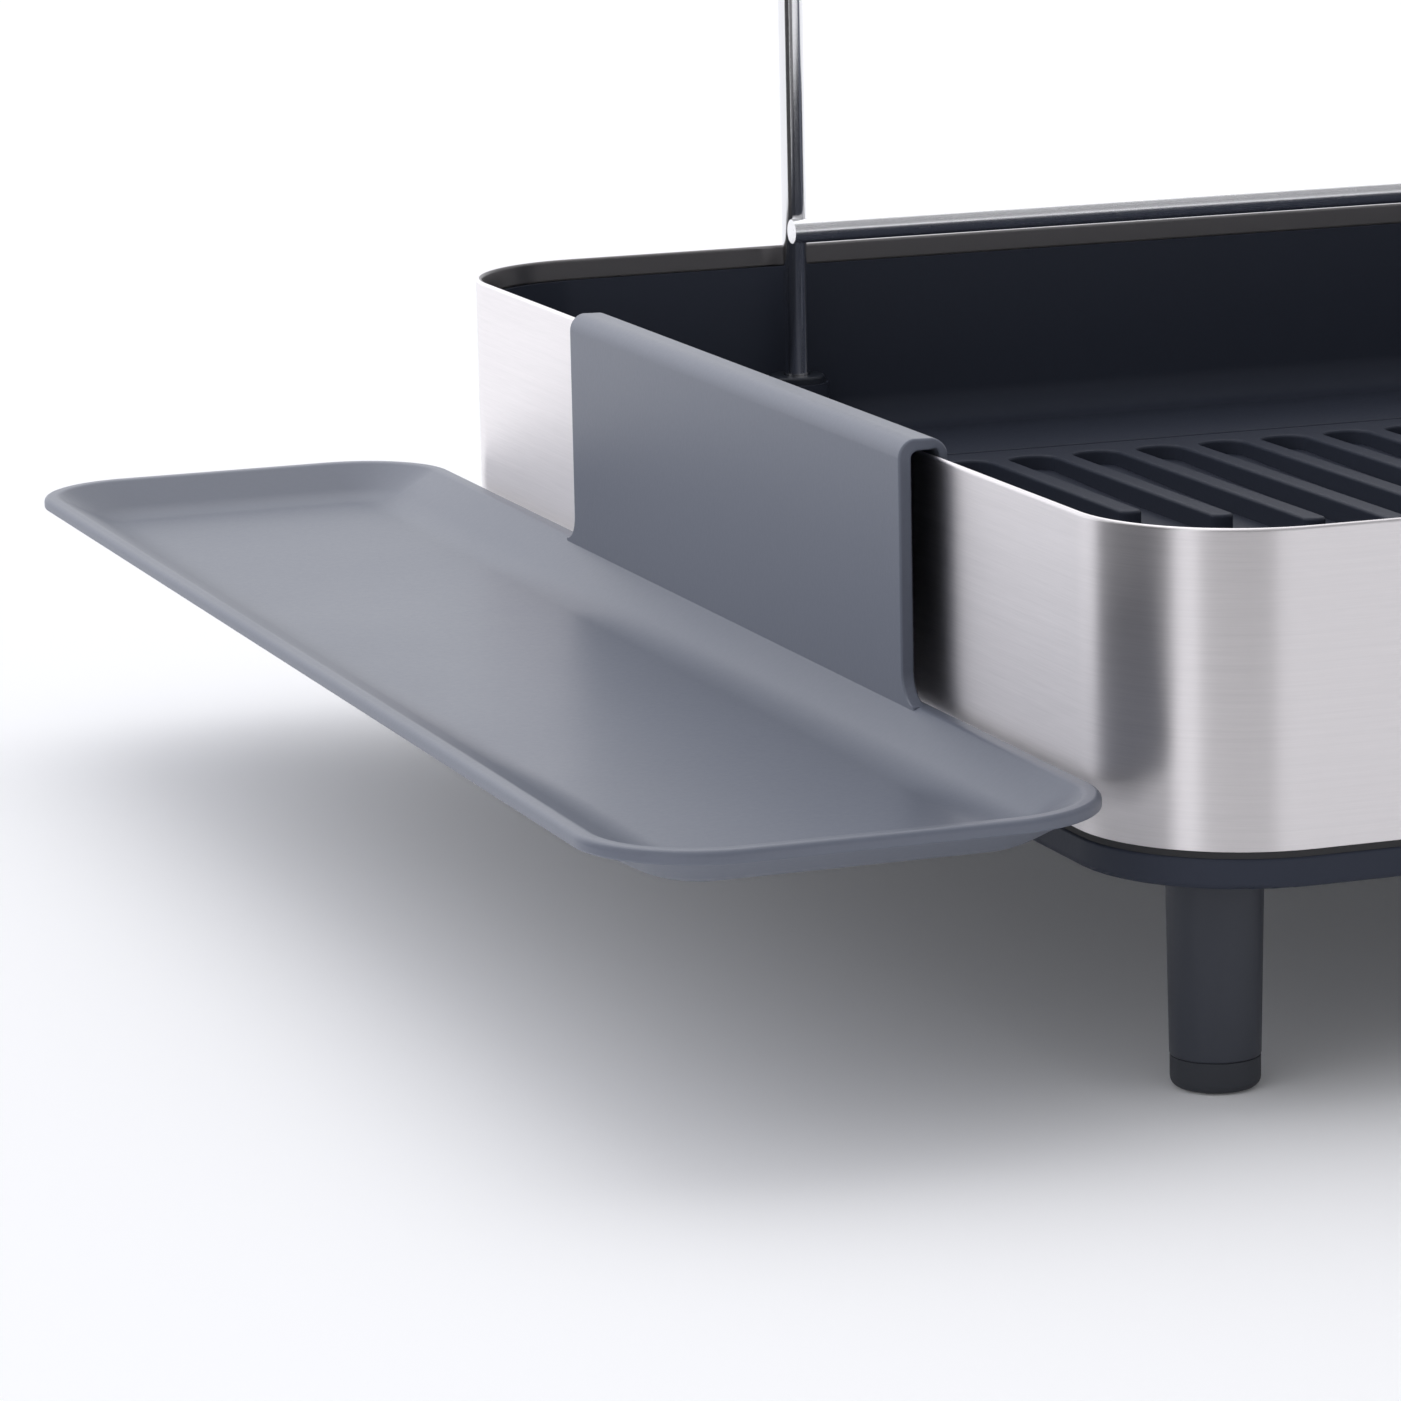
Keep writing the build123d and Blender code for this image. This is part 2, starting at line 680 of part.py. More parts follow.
# ---- Drain strainer ----
strainer_seat = sump_level + strainer_lift
strainer_radius = drain_radius - strainer_play
with BuildPart() as drain_strainer:
    with BuildSketch(level(strainer_seat)):
        Circle(drain_radius + strainer_flange)
    extrude(amount=strainer_thickness)
    fillet(drain_strainer.edges().group_by(Axis.Z)[-1], strainer_round)
    with BuildSketch(level(strainer_seat)):
        Circle(strainer_radius)
        Circle(strainer_radius - strainer_wall, mode=Mode.SUBTRACT)
    extrude(amount=-strainer_skirt)
    with BuildSketch(level(strainer_seat)):
        with PolarLocations(strainer_slot_ring, strainer_slots):
            SlotOverall(strainer_slot_length, strainer_slot_width)
    extrude(amount=strainer_thickness, mode=Mode.SUBTRACT)
    with BuildSketch(level(strainer_seat + strainer_thickness)):
        Circle(knob_neck_radius)
    extrude(amount=knob_height)
    with BuildSketch(level(strainer_seat + strainer_thickness + knob_height)):
        Circle(knob_radius)
    extrude(amount=-knob_head_height)
    fillet(drain_strainer.edges().group_by(Axis.Z)[-1], knob_round)
finish(drain_strainer.part, "drain_strainer")

# ---- Swivelling spout ----
bearing_radius = spigot_radius + spout_play
hub_radius = bearing_radius + hub_wall
hub_bottom = hub_top - hub_height
washer_bottom = hub_top + washer_play

with BuildPart() as spout_washer:
    with BuildSketch(level(washer_bottom)):
        Circle(hub_radius - washer_inset)
        Circle(spigot_radius + ring_clearance, mode=Mode.SUBTRACT)
    extrude(amount=sump_level - floor_thickness - weld_gap - washer_bottom)
finish(spout_washer.part, "spout_washer")

with BuildPart() as spout_retainer:
    with BuildSketch(level(spigot_bottom)):
        Circle(spigot_radius + retainer_rim)
        Circle(spigot_radius + ring_clearance, mode=Mode.SUBTRACT)
    extrude(amount=hub_bottom - retainer_gap - spigot_bottom)
    fillet(spout_retainer.edges().group_by(Axis.Z)[0], retainer_round)
finish(spout_retainer.part, "spout_retainer")

cup_radius = spigot_radius + retainer_rim + retainer_side_gap + cup_wall
with BuildPart() as spout_arm:
    with BuildSketch(level(hub_bottom)):
        Circle(cup_radius)
    extrude(amount=hub_height)
    fillet(spout_arm.edges().group_by(Axis.Z)[-1], cup_round)
    with BuildSketch(level(cup_bottom)):
        Circle(cup_radius)
    extrude(amount=hub_bottom - cup_bottom)
    with BuildSketch(level(cup_bottom)):
        with Locations((spout_length / 2, 0)):
            Rectangle(spout_length, spout_inner_width + 2 * spout_wall)
    extrude(amount=spout_top - cup_bottom)
    with BuildSketch(level(cup_bottom + spout_floor)):
        Circle(cup_radius - cup_wall)
    extrude(amount=hub_bottom - cup_bottom - spout_floor, mode=Mode.SUBTRACT)
    with BuildSketch(level(hub_bottom)):
        Circle(bearing_radius)
    extrude(amount=hub_height, mode=Mode.SUBTRACT)
    with BuildSketch(level(cup_bottom + spout_floor)):
        with Locations((spout_length / 2 + spout_wall, 0)):
            Rectangle(spout_length + 2 * spout_wall, spout_inner_width)
    extrude(amount=spout_top - cup_bottom - spout_floor, mode=Mode.SUBTRACT)
finish(spout_arm.part, "spout_arm")

extension_width = spout_inner_width - 2 * extension_play
extension_bottom = cup_bottom + spout_floor + extension_play
extension_length = rack_width / 2 - extension_inset - extension_start
with BuildPart() as spout_extension:
    with BuildSketch(level(extension_bottom)):
        with Locations((extension_start + extension_length / 2, 0)):
            Rectangle(extension_length, extension_width)
    extrude(amount=spout_top - extension_drop - extension_bottom)
    with BuildSketch(level(extension_bottom + extension_wall)):
        with Locations((extension_start + extension_length / 2, 0)):
            Rectangle(extension_length + 2 * extension_wall, extension_width - 2 * extension_wall)
    extrude(amount=spout_top, mode=Mode.SUBTRACT)
finish(spout_extension.part, "spout_extension")
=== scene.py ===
import logging
import math
from collections.abc import Callable, Mapping, Sequence
from dataclasses import dataclass, field
from enum import Enum
from functools import cache

import bmesh
import bpy
from mathutils import Matrix, Vector


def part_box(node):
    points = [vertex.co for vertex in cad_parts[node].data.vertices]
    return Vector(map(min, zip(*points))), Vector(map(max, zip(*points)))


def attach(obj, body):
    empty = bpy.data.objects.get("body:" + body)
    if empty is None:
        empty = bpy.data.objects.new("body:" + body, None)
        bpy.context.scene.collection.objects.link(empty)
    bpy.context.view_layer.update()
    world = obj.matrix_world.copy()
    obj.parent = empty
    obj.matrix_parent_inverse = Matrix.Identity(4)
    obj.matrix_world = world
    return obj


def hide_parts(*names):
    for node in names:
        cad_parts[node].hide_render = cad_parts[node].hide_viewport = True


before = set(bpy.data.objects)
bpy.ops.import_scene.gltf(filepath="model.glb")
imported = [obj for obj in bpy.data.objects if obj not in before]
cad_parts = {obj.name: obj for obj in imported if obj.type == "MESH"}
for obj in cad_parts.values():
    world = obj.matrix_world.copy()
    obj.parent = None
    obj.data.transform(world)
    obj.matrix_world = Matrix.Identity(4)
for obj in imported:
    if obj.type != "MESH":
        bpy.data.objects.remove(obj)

# Looks of the dish drying rack. Sizes here are millimetres, and Blender's are metres. Places come
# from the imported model's own pieces, so that every new piece lies where its solid lies.

LOG = logging.getLogger("dish_rack")
MM = 0.001
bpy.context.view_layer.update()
CORNERS = ("front_left", "front_right", "back_left", "back_right")

Point2 = tuple[float, float]
Point3 = tuple[float, float, float]
Colour = tuple[float, float, float]
WirePoint = tuple[float, float, float, float]
Socket = bpy.types.NodeSocket
VertRing = list[bmesh.types.BMVert]


# ---- Node trees ----


class Signal:
    """A shader value that takes part in arithmetic, adding a Math node for each operation."""

    def __init__(self, nodes: "NodeTree", socket: Socket) -> None:
        """Wraps an output socket of a tree."""
        self.nodes = nodes
        self.socket = socket

    def _with(self, operation: str, *values: "Signal | float") -> "Signal":
        """Adds one Math node.

        Args:
            operation: the Math node's operation.
            values: its inputs in order.

        Returns:
            The node's result.
        """
        node = self.nodes.add("ShaderNodeMath", {"operation": operation}, dict(enumerate(values)))
        return Signal(self.nodes, node.outputs[0])

    def __add__(self, other: "Signal | float") -> "Signal":
        """Sum."""
        return self._with("ADD", self, other)

    __radd__ = __add__

    def __sub__(self, other: "Signal | float") -> "Signal":
        """Difference."""
        return self._with("SUBTRACT", self, other)

    def __rsub__(self, other: float) -> "Signal":
        """Difference, reflected."""
        return self._with("SUBTRACT", other, self)

    def __mul__(self, other: "Signal | float") -> "Signal":
        """Product."""
        return self._with("MULTIPLY", self, other)

    __rmul__ = __mul__

    def clamp(self, low: float, high: float) -> "Signal":
        """The value kept between two numbers."""
        return self._with("MINIMUM", self._with("MAXIMUM", self, low), high)


class NodeTree:
    """A node tree with one method that adds any node, and short forms for three common ones."""

    def __init__(self, tree: bpy.types.NodeTree) -> None:
        """Empties the tree and keeps it."""
        tree.nodes.clear()
        self.tree = tree

    def add(
        self,
        kind: str,
        settings: Mapping[str, object] | None = None,
        inputs: Mapping[str | int, object] | None = None,
    ) -> bpy.types.Node:
        """Adds a node.

        Args:
            kind: the node's type.
            settings: its properties, set first.
            inputs: a value, socket or Signal for each named or numbered socket.

        Returns:
            The new node.
        """
        node = self.tree.nodes.new(kind)
        for name, value in (settings or {}).items():
            setattr(node, name, value)
        for name, value in (inputs or {}).items():
            source = value.socket if isinstance(value, Signal) else value
            if isinstance(source, Socket):
                self.tree.links.new(source, node.inputs[name])
            else:
                node.inputs[name].default_value = source
        return node

    def noise(
        self, place: Socket, scale: float, detail: float, roughness: float = 0.5
    ) -> Signal:
        """Adds a noise pattern.

        Args:
            place: the coordinates at which it is read.
            scale: how fine it is.
            detail: number of finer layers.
            roughness: strength of the finer layers.

        Returns:
            Its value, from 0 to 1.
        """
        inputs = {"Vector": place, "Scale": scale, "Detail": detail, "Roughness": roughness}
        return Signal(self, self.add("ShaderNodeTexNoise", None, inputs).outputs[0])

    def blend(self, share: Signal, first: object, second: object) -> Socket:
        """Adds a mix of two colours.

        Args:
            share: share of the second colour.
            first: a colour or its socket.
            second: a colour or its socket.

        Returns:
            The mixed colour.
        """
        inputs = {"Factor": share, "A": first, "B": second}
        return self.add("ShaderNodeMix", {"data_type": "RGBA"}, inputs).outputs[2]

    def bump(self, height: Signal, strength: float, depth: float) -> Socket:
        """Adds a bump.

        Args:
            height: the pattern that is raised.
            strength: share of the effect.
            depth: depth of the pattern in millimetres.

        Returns:
            The tilted normal.
        """
        inputs = {"Strength": strength, "Distance": depth * MM, "Height": height}
        return self.add("ShaderNodeBump", None, inputs).outputs[0]


# ---- Finishes ----


class Grain(Enum):
    """Which way a metal's fine lines run, as the scale of the noise along each axis."""

    LEVEL = (110.0, 110.0, 9000.0)
    UPRIGHT = (5200.0, 5200.0, 60.0)
    LEFT_RIGHT = (60.0, 5200.0, 5200.0)
    FRONT_BACK = (5200.0, 60.0, 5200.0)

    def along(self, nodes: NodeTree, place: Socket) -> Socket:
        """Coordinates drawn out along the grain."""
        inputs = {"Vector": place, "Scale": self.value}
        return nodes.add("ShaderNodeMapping", None, inputs).outputs[0]


def scaled(colour: Colour, factor: float = 1.0) -> tuple[float, float, float, float]:
    """A colour made lighter or darker, as a node takes it.

    Args:
        colour: linear colour.
        factor: share of its brightness.

    Returns:
        The colour with alpha 1.
    """
    red, green, blue = (min(1.0, channel * factor) for channel in colour)
    return (red, green, blue, 1.0)


def plain_material(
    name: str, kind: str, inputs: Mapping[str | int, object]
) -> bpy.types.Material:
    """A material made of one shader with even values, for the studio.

    Args:
        name: its name.
        kind: the shader node's type.
        inputs: the shader's values.

    Returns:
        The material.
    """
    material = bpy.data.materials.new(name)
    material.use_nodes = True
    nodes = NodeTree(material.node_tree)
    shader = nodes.add(kind, None, inputs)
    nodes.add("ShaderNodeOutputMaterial", None, {"Surface": shader.outputs[0]})
    return material


@dataclass(frozen=True)
class Finish:
    """Base of the finishes: a named material built from procedural nodes."""

    name: str
    colour: Colour

    @cache
    def material(self) -> bpy.types.Material:
        """The material, built on first use.

        Returns:
            The material of this finish.
        """
        material = bpy.data.materials.new(self.name)
        material.use_nodes = True
        material.diffuse_color = scaled(self.colour)
        nodes = NodeTree(material.node_tree)
        place = nodes.add("ShaderNodeTexCoord").outputs["Object"]
        shader = nodes.add("ShaderNodeBsdfPrincipled", None, self.shade(nodes, place))
        nodes.add("ShaderNodeOutputMaterial", None, {"Surface": shader.outputs[0]})
        return material

    def shade(self, nodes: NodeTree, place: Socket) -> dict[str, object]:
        """Builds the patterns that feed the shader.

        Args:
            nodes: the material's tree.
            place: Object coordinates.

        Returns:
            A value, socket or Signal for each of the shader's inputs that is set.
        """
        raise NotImplementedError

    def tinted(
        self, nodes: NodeTree, share: Signal, darkest: float, lightest: float
    ) -> Socket:
        """The finish's colour, varied by a pattern.

        Args:
            nodes: the material's tree.
            share: the pattern.
            darkest: share of the colour's brightness where the pattern is 0.
            lightest: share of it where the pattern is 1.

        Returns:
            The colour.
        """
        return nodes.blend(share, scaled(self.colour, darkest), scaled(self.colour, lightest))


@dataclass(frozen=True)
class MouldedPlastic(Finish):
    """Matt moulded plastic with a fine spark-eroded skin and faint uneven tone."""

    roughness: float = 0.5
    skin_size: float = 0.9
    skin_depth: float = 0.03
    gloss: float = 0.45
    mottle: float = 0.05
    cloud_scale: float = 14.0
    fleck_scale: float = 900.0

    def shade(self, nodes: NodeTree, place: Socket) -> dict[str, object]:
        """Fine grain in the bump, soft clouds in tone and gloss."""
        cloud = nodes.noise(place, self.cloud_scale, 3.0)
        fleck = nodes.noise(place, self.fleck_scale, 2.0)
        skin = nodes.noise(place, 1.0 / (self.skin_size * MM), 4.0, 0.6)
        tone = (cloud * 0.7 + fleck * 0.3).clamp(0.25, 0.75) * 2.0 - 0.5
        rough = cloud * 0.12 + skin * 0.08 + (self.roughness - 0.1)
        return {
            "Base Color": self.tinted(nodes, tone, 1.0 - self.mottle, 1.0 + self.mottle),
            "Roughness": rough.clamp(0.05, 0.95),
            "Normal": nodes.bump(skin, 0.6, self.skin_depth),
            "Specular IOR Level": self.gloss,
        }


@dataclass(frozen=True)
class BrushedSteel(Finish):
    """Stainless steel with fine parallel brush lines."""

    grain: Grain = Grain.LEVEL
    roughness: float = 0.3
    streak: float = 0.1
    anisotropy: float = 0.5
    lobe_turn: float = 0.25
    # share of the colour kept on inward faces; below 1 it paints shade there
    inside_shade_tone: float = 1.0
    broad_scale: float = 0.17
    haze_scale: float = 9.0
    line_depth: float = 0.006

    def shade(self, nodes: NodeTree, place: Socket) -> dict[str, object]:
        """Long streaks of noise along the grain vary tone, gloss and bump; inward faces can get
        painted shade.
        """
        stretched = self.grain.along(nodes, place)
        fine = nodes.noise(stretched, 1.0, 3.0)
        broad = nodes.noise(stretched, self.broad_scale, 2.0)
        hazy = nodes.noise(place, self.haze_scale, 2.0)
        lines = (fine * 0.6 + broad * 0.4).clamp(0.0, 1.0)
        colour = self.tinted(nodes, lines, 1.0 - self.streak, 1.0 + self.streak)
        # painted shade on the inward faces of the hem
        if self.inside_shade_tone < 1.0:
            colour = self._painted_shade_inside(nodes, place, colour)
        rough = lines * 0.16 + hazy * 0.06 + (self.roughness - 0.11)
        return {
            "Base Color": colour,
            "Metallic": 1.0,
            "Roughness": rough.clamp(0.04, 0.9),
            "Anisotropic": self.anisotropy,
            "Anisotropic Rotation": self.lobe_turn,
            "Normal": nodes.bump(lines, 0.3, self.line_depth),
        }

    def _painted_shade_inside(
        self, nodes: NodeTree, place: Socket, colour: Socket
    ) -> Socket:
        """Paints shade on the faces that look inwards, so the folded hem's inner face reads dark.

        Args:
            nodes: the material's tree.
            place: Object coordinates.
            colour: the colour of the outer faces.

        Returns:
            The colour of all faces.
        """
        facing = nodes.add("ShaderNodeTexCoord").outputs["Normal"]
        level = nodes.add(
            "ShaderNodeVectorMath", {"operation": "MULTIPLY"}, {0: facing, 1: (1.0, 1.0, 0.0)}
        )
        outward = nodes.add(
            "ShaderNodeVectorMath", {"operation": "DOT_PRODUCT"}, {0: level.outputs[0], 1: place}
        )
        inward_shade = (Signal(nodes, outward.outputs["Value"]) * -40.0).clamp(0.0, 1.0)
        return nodes.blend(inward_shade, colour, scaled(self.colour, self.inside_shade_tone))


@dataclass(frozen=True)
class PolishedSteel(Finish):
    """Electropolished steel wire: bright, with faint drawing lines and water haze."""

    grain: Grain = Grain.UPRIGHT
    roughness: float = 0.12
    line_scale: float = 0.6
    haze_scale: float = 45.0
    line_depth: float = 0.004

    def shade(self, nodes: NodeTree, place: Socket) -> dict[str, object]:
        """Low roughness with faint lines along the wire and a soft haze."""
        lines = nodes.noise(self.grain.along(nodes, place), self.line_scale, 2.0)
        haze = nodes.noise(place, self.haze_scale, 3.0)
        rough = lines * 0.06 + haze * 0.07 + (self.roughness - 0.06)
        return {
            "Base Color": self.tinted(nodes, haze, 0.94, 1.04),
            "Metallic": 1.0,
            "Roughness": rough.clamp(0.03, 0.6),
            "Normal": nodes.bump(lines, 0.12, self.line_depth),
        }


@dataclass(frozen=True)
class SoftRubber(Finish):
    """Dull rubber with dusty lighter patches."""

    roughness: float = 0.75
    dust_scale: float = 120.0
    pit_scale: float = 2200.0
    pit_depth: float = 0.02

    def shade(self, nodes: NodeTree, place: Socket) -> dict[str, object]:
        """Dust clouds over a fine pitted skin."""
        dust = nodes.noise(place, self.dust_scale, 4.0)
        pits = nodes.noise(place, self.pit_scale, 3.0)
        return {
            "Base Color": self.tinted(nodes, dust, 0.85, 1.2),
            "Roughness": (dust * 0.1 + (self.roughness - 0.05)).clamp(0.2, 0.95),
            "Normal": nodes.bump(pits, 0.5, self.pit_depth),
        }


# the band's inward faces get painted shade, at 0.22 of its colour
BAND_STEEL = BrushedSteel(
    "brushed_band_steel", (0.84, 0.81, 0.815), Grain.LEVEL, 0.38, 0.12, 0.88, inside_shade_tone=0.22
)
SCREW_STEEL = BrushedSteel("plated_screw_steel", (0.60, 0.60, 0.62), Grain.LEVEL, 0.35, 0.05, 0.0)
ROD_STEEL = PolishedSteel("polished_rod_steel", (0.86, 0.86, 0.87), Grain.UPRIGHT)
RAIL_STEEL = PolishedSteel("polished_rail_steel", (0.90, 0.90, 0.91), Grain.LEFT_RIGHT, 0.26)
TIER_STEEL = PolishedSteel("polished_tier_steel", (0.86, 0.86, 0.87), Grain.FRONT_BACK)
TRAY_SLATE = MouldedPlastic("slate_tray_plastic", (0.032, 0.037, 0.053), 0.46, gloss=0.12)
SIDE_SLATE = MouldedPlastic("slate_side_tray_plastic", (0.138, 0.152, 0.190), 0.36, gloss=0.36)
LEG_SLATE = MouldedPlastic(
    "slate_leg_plastic", (0.034, 0.038, 0.050), 0.42, skin_depth=0.006, gloss=0.35
)
COLLAR_SLATE = MouldedPlastic(
    "slate_collar_plastic", (0.022, 0.026, 0.036), 0.4, skin_depth=0.004, gloss=0.3
)
SPOUT_SLATE = MouldedPlastic("slate_spout_plastic", (0.060, 0.067, 0.092), 0.5)
HOLDER_SLATE = MouldedPlastic("slate_holder_plastic", (0.200, 0.215, 0.262), 0.55)
STRAINER_SLATE = MouldedPlastic("slate_strainer_plastic", (0.200, 0.215, 0.262), 0.5)
FOOT_RUBBER = SoftRubber("foot_rubber", (0.026, 0.029, 0.037), 0.7)
# black rubber: a real washer on the spout, and painted shade as the seal under the band
SEAL_AND_SHADE_LINE_RUBBER = SoftRubber("seal_rubber", (0.020, 0.020, 0.022), 0.7)


# ---- Mesh tools ----


def node_box(name: str) -> tuple[Vector, Vector]:
    """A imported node's box in millimetres.

    Args:
        name: the node.

    Returns:
        Its lowest and highest corners.
    """
    low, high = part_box(name)
    return low / MM, high / MM


def rounded_path(
    corners: Sequence[Point3], closed: bool = False, steps: int = 6
) -> list[Point2]:
    """Rounds the corners of a path with arcs.

    Args:
        corners: place across, place up and radius of each corner.
        closed: whether the last corner joins the first.
        steps: pieces of each arc.

    Returns:
        The path's points.
    """
    path: list[Point2] = []
    count = len(corners)
    for index, (across, up, radius) in enumerate(corners):
        here = Vector((across, up))
        if radius == 0 or (not closed and index in (0, count - 1)):
            path.append((across, up))
            continue
        back = (Vector(corners[index - 1][:2]) - here).normalized()
        ahead = (Vector(corners[(index + 1) % count][:2]) - here).normalized()
        half = back.angle(ahead) / 2
        centre = here + (back + ahead).normalized() * (radius / math.sin(half))
        spoke = here + back * (radius / math.tan(half)) - centre
        turn = math.pi - 2 * half
        side = 1.0 if back.x * ahead.y - back.y * ahead.x < 0 else -1.0
        for step in range(steps + 1):
            point = centre + Matrix.Rotation(side * turn * step / steps, 2) @ spoke
            path.append((point.x, point.y))
    return path


@dataclass(frozen=True)
class PlanOutline:
    """A rounded rectangle seen from above, in millimetres."""

    centre: Point2
    width: float
    depth: float
    radius: float
    steps: int
    least_radius: float = 0.15

    def ring(self, inset: float, height: float) -> list[Point3]:
        """Points round the outline.

        Args:
            inset: how far inside the outline the ring runs.
            height: its height.

        Returns:
            The points, counter-clockwise from above.
        """
        radius = max(self.radius - inset, self.least_radius)
        reach_x = self.width / 2 - inset - radius
        reach_y = self.depth / 2 - inset - radius
        points: list[Point3] = []
        for turn, (sign_x, sign_y) in enumerate(((1, 1), (-1, 1), (-1, -1), (1, -1))):
            for step in range(self.steps + 1):
                angle = math.pi / 2 * (turn + step / self.steps)
                x = self.centre[0] + sign_x * reach_x + radius * math.cos(angle)
                y = self.centre[1] + sign_y * reach_y + radius * math.sin(angle)
                points.append((x, y, height))
        return points


def circle(radius: float, height: float, sides: int = 56) -> list[Point3]:
    """Points round a level circle about the upright axis.

    Args:
        radius: its radius.
        height: its height.
        sides: number of points.

    Returns:
        The points, counter-clockwise from above.
    """
    angles = [2 * math.pi * side / sides for side in range(sides)]
    return [(radius * math.cos(angle), radius * math.sin(angle), height) for angle in angles]


class Skin:
    """A mesh under construction, made of rings of points in millimetres."""

    def __init__(self) -> None:
        """Starts empty."""
        self.bm = bmesh.new()

    def ring(self, points: Sequence[Point3]) -> VertRing:
        """Adds one ring of vertices."""
        return [self.bm.verts.new(Vector(point) * MM) for point in points]

    def loft(
        self, rings: Sequence[Sequence[Point3]], closed: bool = False, capped: bool = False
    ) -> list[VertRing]:
        """Joins a run of rings.

        Args:
            rings: the rings in order.
            closed: whether the last joins the first, as on a frame.
            capped: whether the first and the last are filled.

        Returns:
            The rings' vertices.
        """
        made = [self.ring(points) for points in rings]
        for first, second in zip(made, made[1:] + (made[:1] if closed else [])):
            for index, vert in enumerate(first):
                after = (index + 1) % len(first)
                self.bm.faces.new((vert, first[after], second[after], second[index]))
        if capped:
            self.bm.faces.new(made[0])
            self.bm.faces.new(made[-1])
        return made

    def fill(self, *rings: VertRing) -> None:
        """Fills a level face that has these rings as its edges and holes."""
        edges = []
        for ring in rings:
            for first, second in zip(ring, ring[1:] + ring[:1]):
                edge = self.bm.edges.get((first, second)) or self.bm.edges.new((first, second))
                edges.append(edge)
        bmesh.ops.triangle_fill(self.bm, edges=edges, use_beauty=True)

    def take(self, mesh: bpy.types.Mesh, drop: Callable[[list[Vector]], bool]) -> None:
        """Adds a copy of another mesh, without some of its faces.

        Args:
            mesh: the mesh to copy.
            drop: a test of a face's corners in millimetres that says it is left out.
        """
        held = len(self.bm.faces)
        self.bm.from_mesh(mesh)
        self.bm.faces.ensure_lookup_table()
        fresh = self.bm.faces[held:]
        gone = [face for face in fresh if drop([vert.co / MM for vert in face.verts])]
        bmesh.ops.delete(self.bm, geom=gone, context="FACES")

    def mesh(self, name: str, turn_out: bool = True) -> bpy.types.Mesh:
        """Ends the work.

        Args:
            name: the new mesh's name.
            turn_out: whether the normals are worked out afresh.

        Returns:
            The mesh.
        """
        bmesh.ops.remove_doubles(self.bm, verts=self.bm.verts, dist=0.0005 * MM)
        if turn_out:
            bmesh.ops.recalc_face_normals(self.bm, faces=self.bm.faces)
        mesh = bpy.data.meshes.new(name)
        self.bm.to_mesh(mesh)
        self.bm.free()
        return mesh


def add_object(name: str, data: bpy.types.ID) -> bpy.types.Object:
    """Makes an object of a mesh, curve, light or camera and links it to the scene."""
    made = bpy.data.objects.new(name, data)
    bpy.context.scene.collection.objects.link(made)
    return made


def settled_mesh(carrier: bpy.types.Object, name: str) -> bpy.types.Mesh:
    """Turns an object's shape, modifiers included, into a plain mesh.

    Args:
        carrier: the object, which is removed.
        name: the mesh's name.

    Returns:
        The mesh.
    """
    depsgraph = bpy.context.evaluated_depsgraph_get()
    mesh = bpy.data.meshes.new_from_object(carrier.evaluated_get(depsgraph))
    mesh.name = name
    bpy.data.objects.remove(carrier)
    return mesh


def show(
    name: str, mesh: bpy.types.Mesh, finish: Finish, crease: float = 32.0
) -> bpy.types.Object:
    """Makes a finished object of a mesh.

    Args:
        name: the piece's name.
        mesh: its mesh, in place.
        finish: its finish.
        crease: angle in degrees past which an edge stays sharp.

    Returns:
        The object, at the origin with no modifiers.
    """
    mesh.shade_smooth()
    mesh.set_sharp_from_angle(angle=math.radians(crease))
    rough = add_object(name + "_rough", mesh)
    rough.modifiers.new("even_normals", "WEIGHTED_NORMAL").keep_sharp = True
    plain = settled_mesh(rough, name)
    plain.materials.clear()
    plain.materials.append(finish.material())
    return add_object(name, plain)


def place_piece(piece: bpy.types.Object, body: str, nodes: Sequence[str]) -> None:
    """Ties a piece to its body and the nodes it stands for.

    Args:
        piece: the object.
        body: the body that it rides on.
        nodes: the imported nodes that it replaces.
    """
    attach(piece, body)
    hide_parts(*nodes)
    triangles = sum(len(face.vertices) - 2 for face in piece.data.polygons)
    LOG.info("%s on %s, %d triangles, for %s", piece.name, body, triangles, ", ".join(nodes))


def dress(finish: Finish, *nodes: str) -> None:
    """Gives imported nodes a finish.

    Args:
        finish: the finish.
        nodes: the nodes that keep their own shape.
    """
    for name in nodes:
        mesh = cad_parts[name].data
        mesh.materials.clear()
        mesh.materials.append(finish.material())
        LOG.info("%s dressed in %s", name, finish.name)


# ---- Repeated and swept pieces ----


class SocketKind(Enum):
    """The kinds of input that a geometry tree takes."""

    LENGTH = "NodeSocketFloat"
    COUNT = "NodeSocketInt"
    PLACE = "NodeSocketVector"
    MATERIAL = "NodeSocketMaterial"


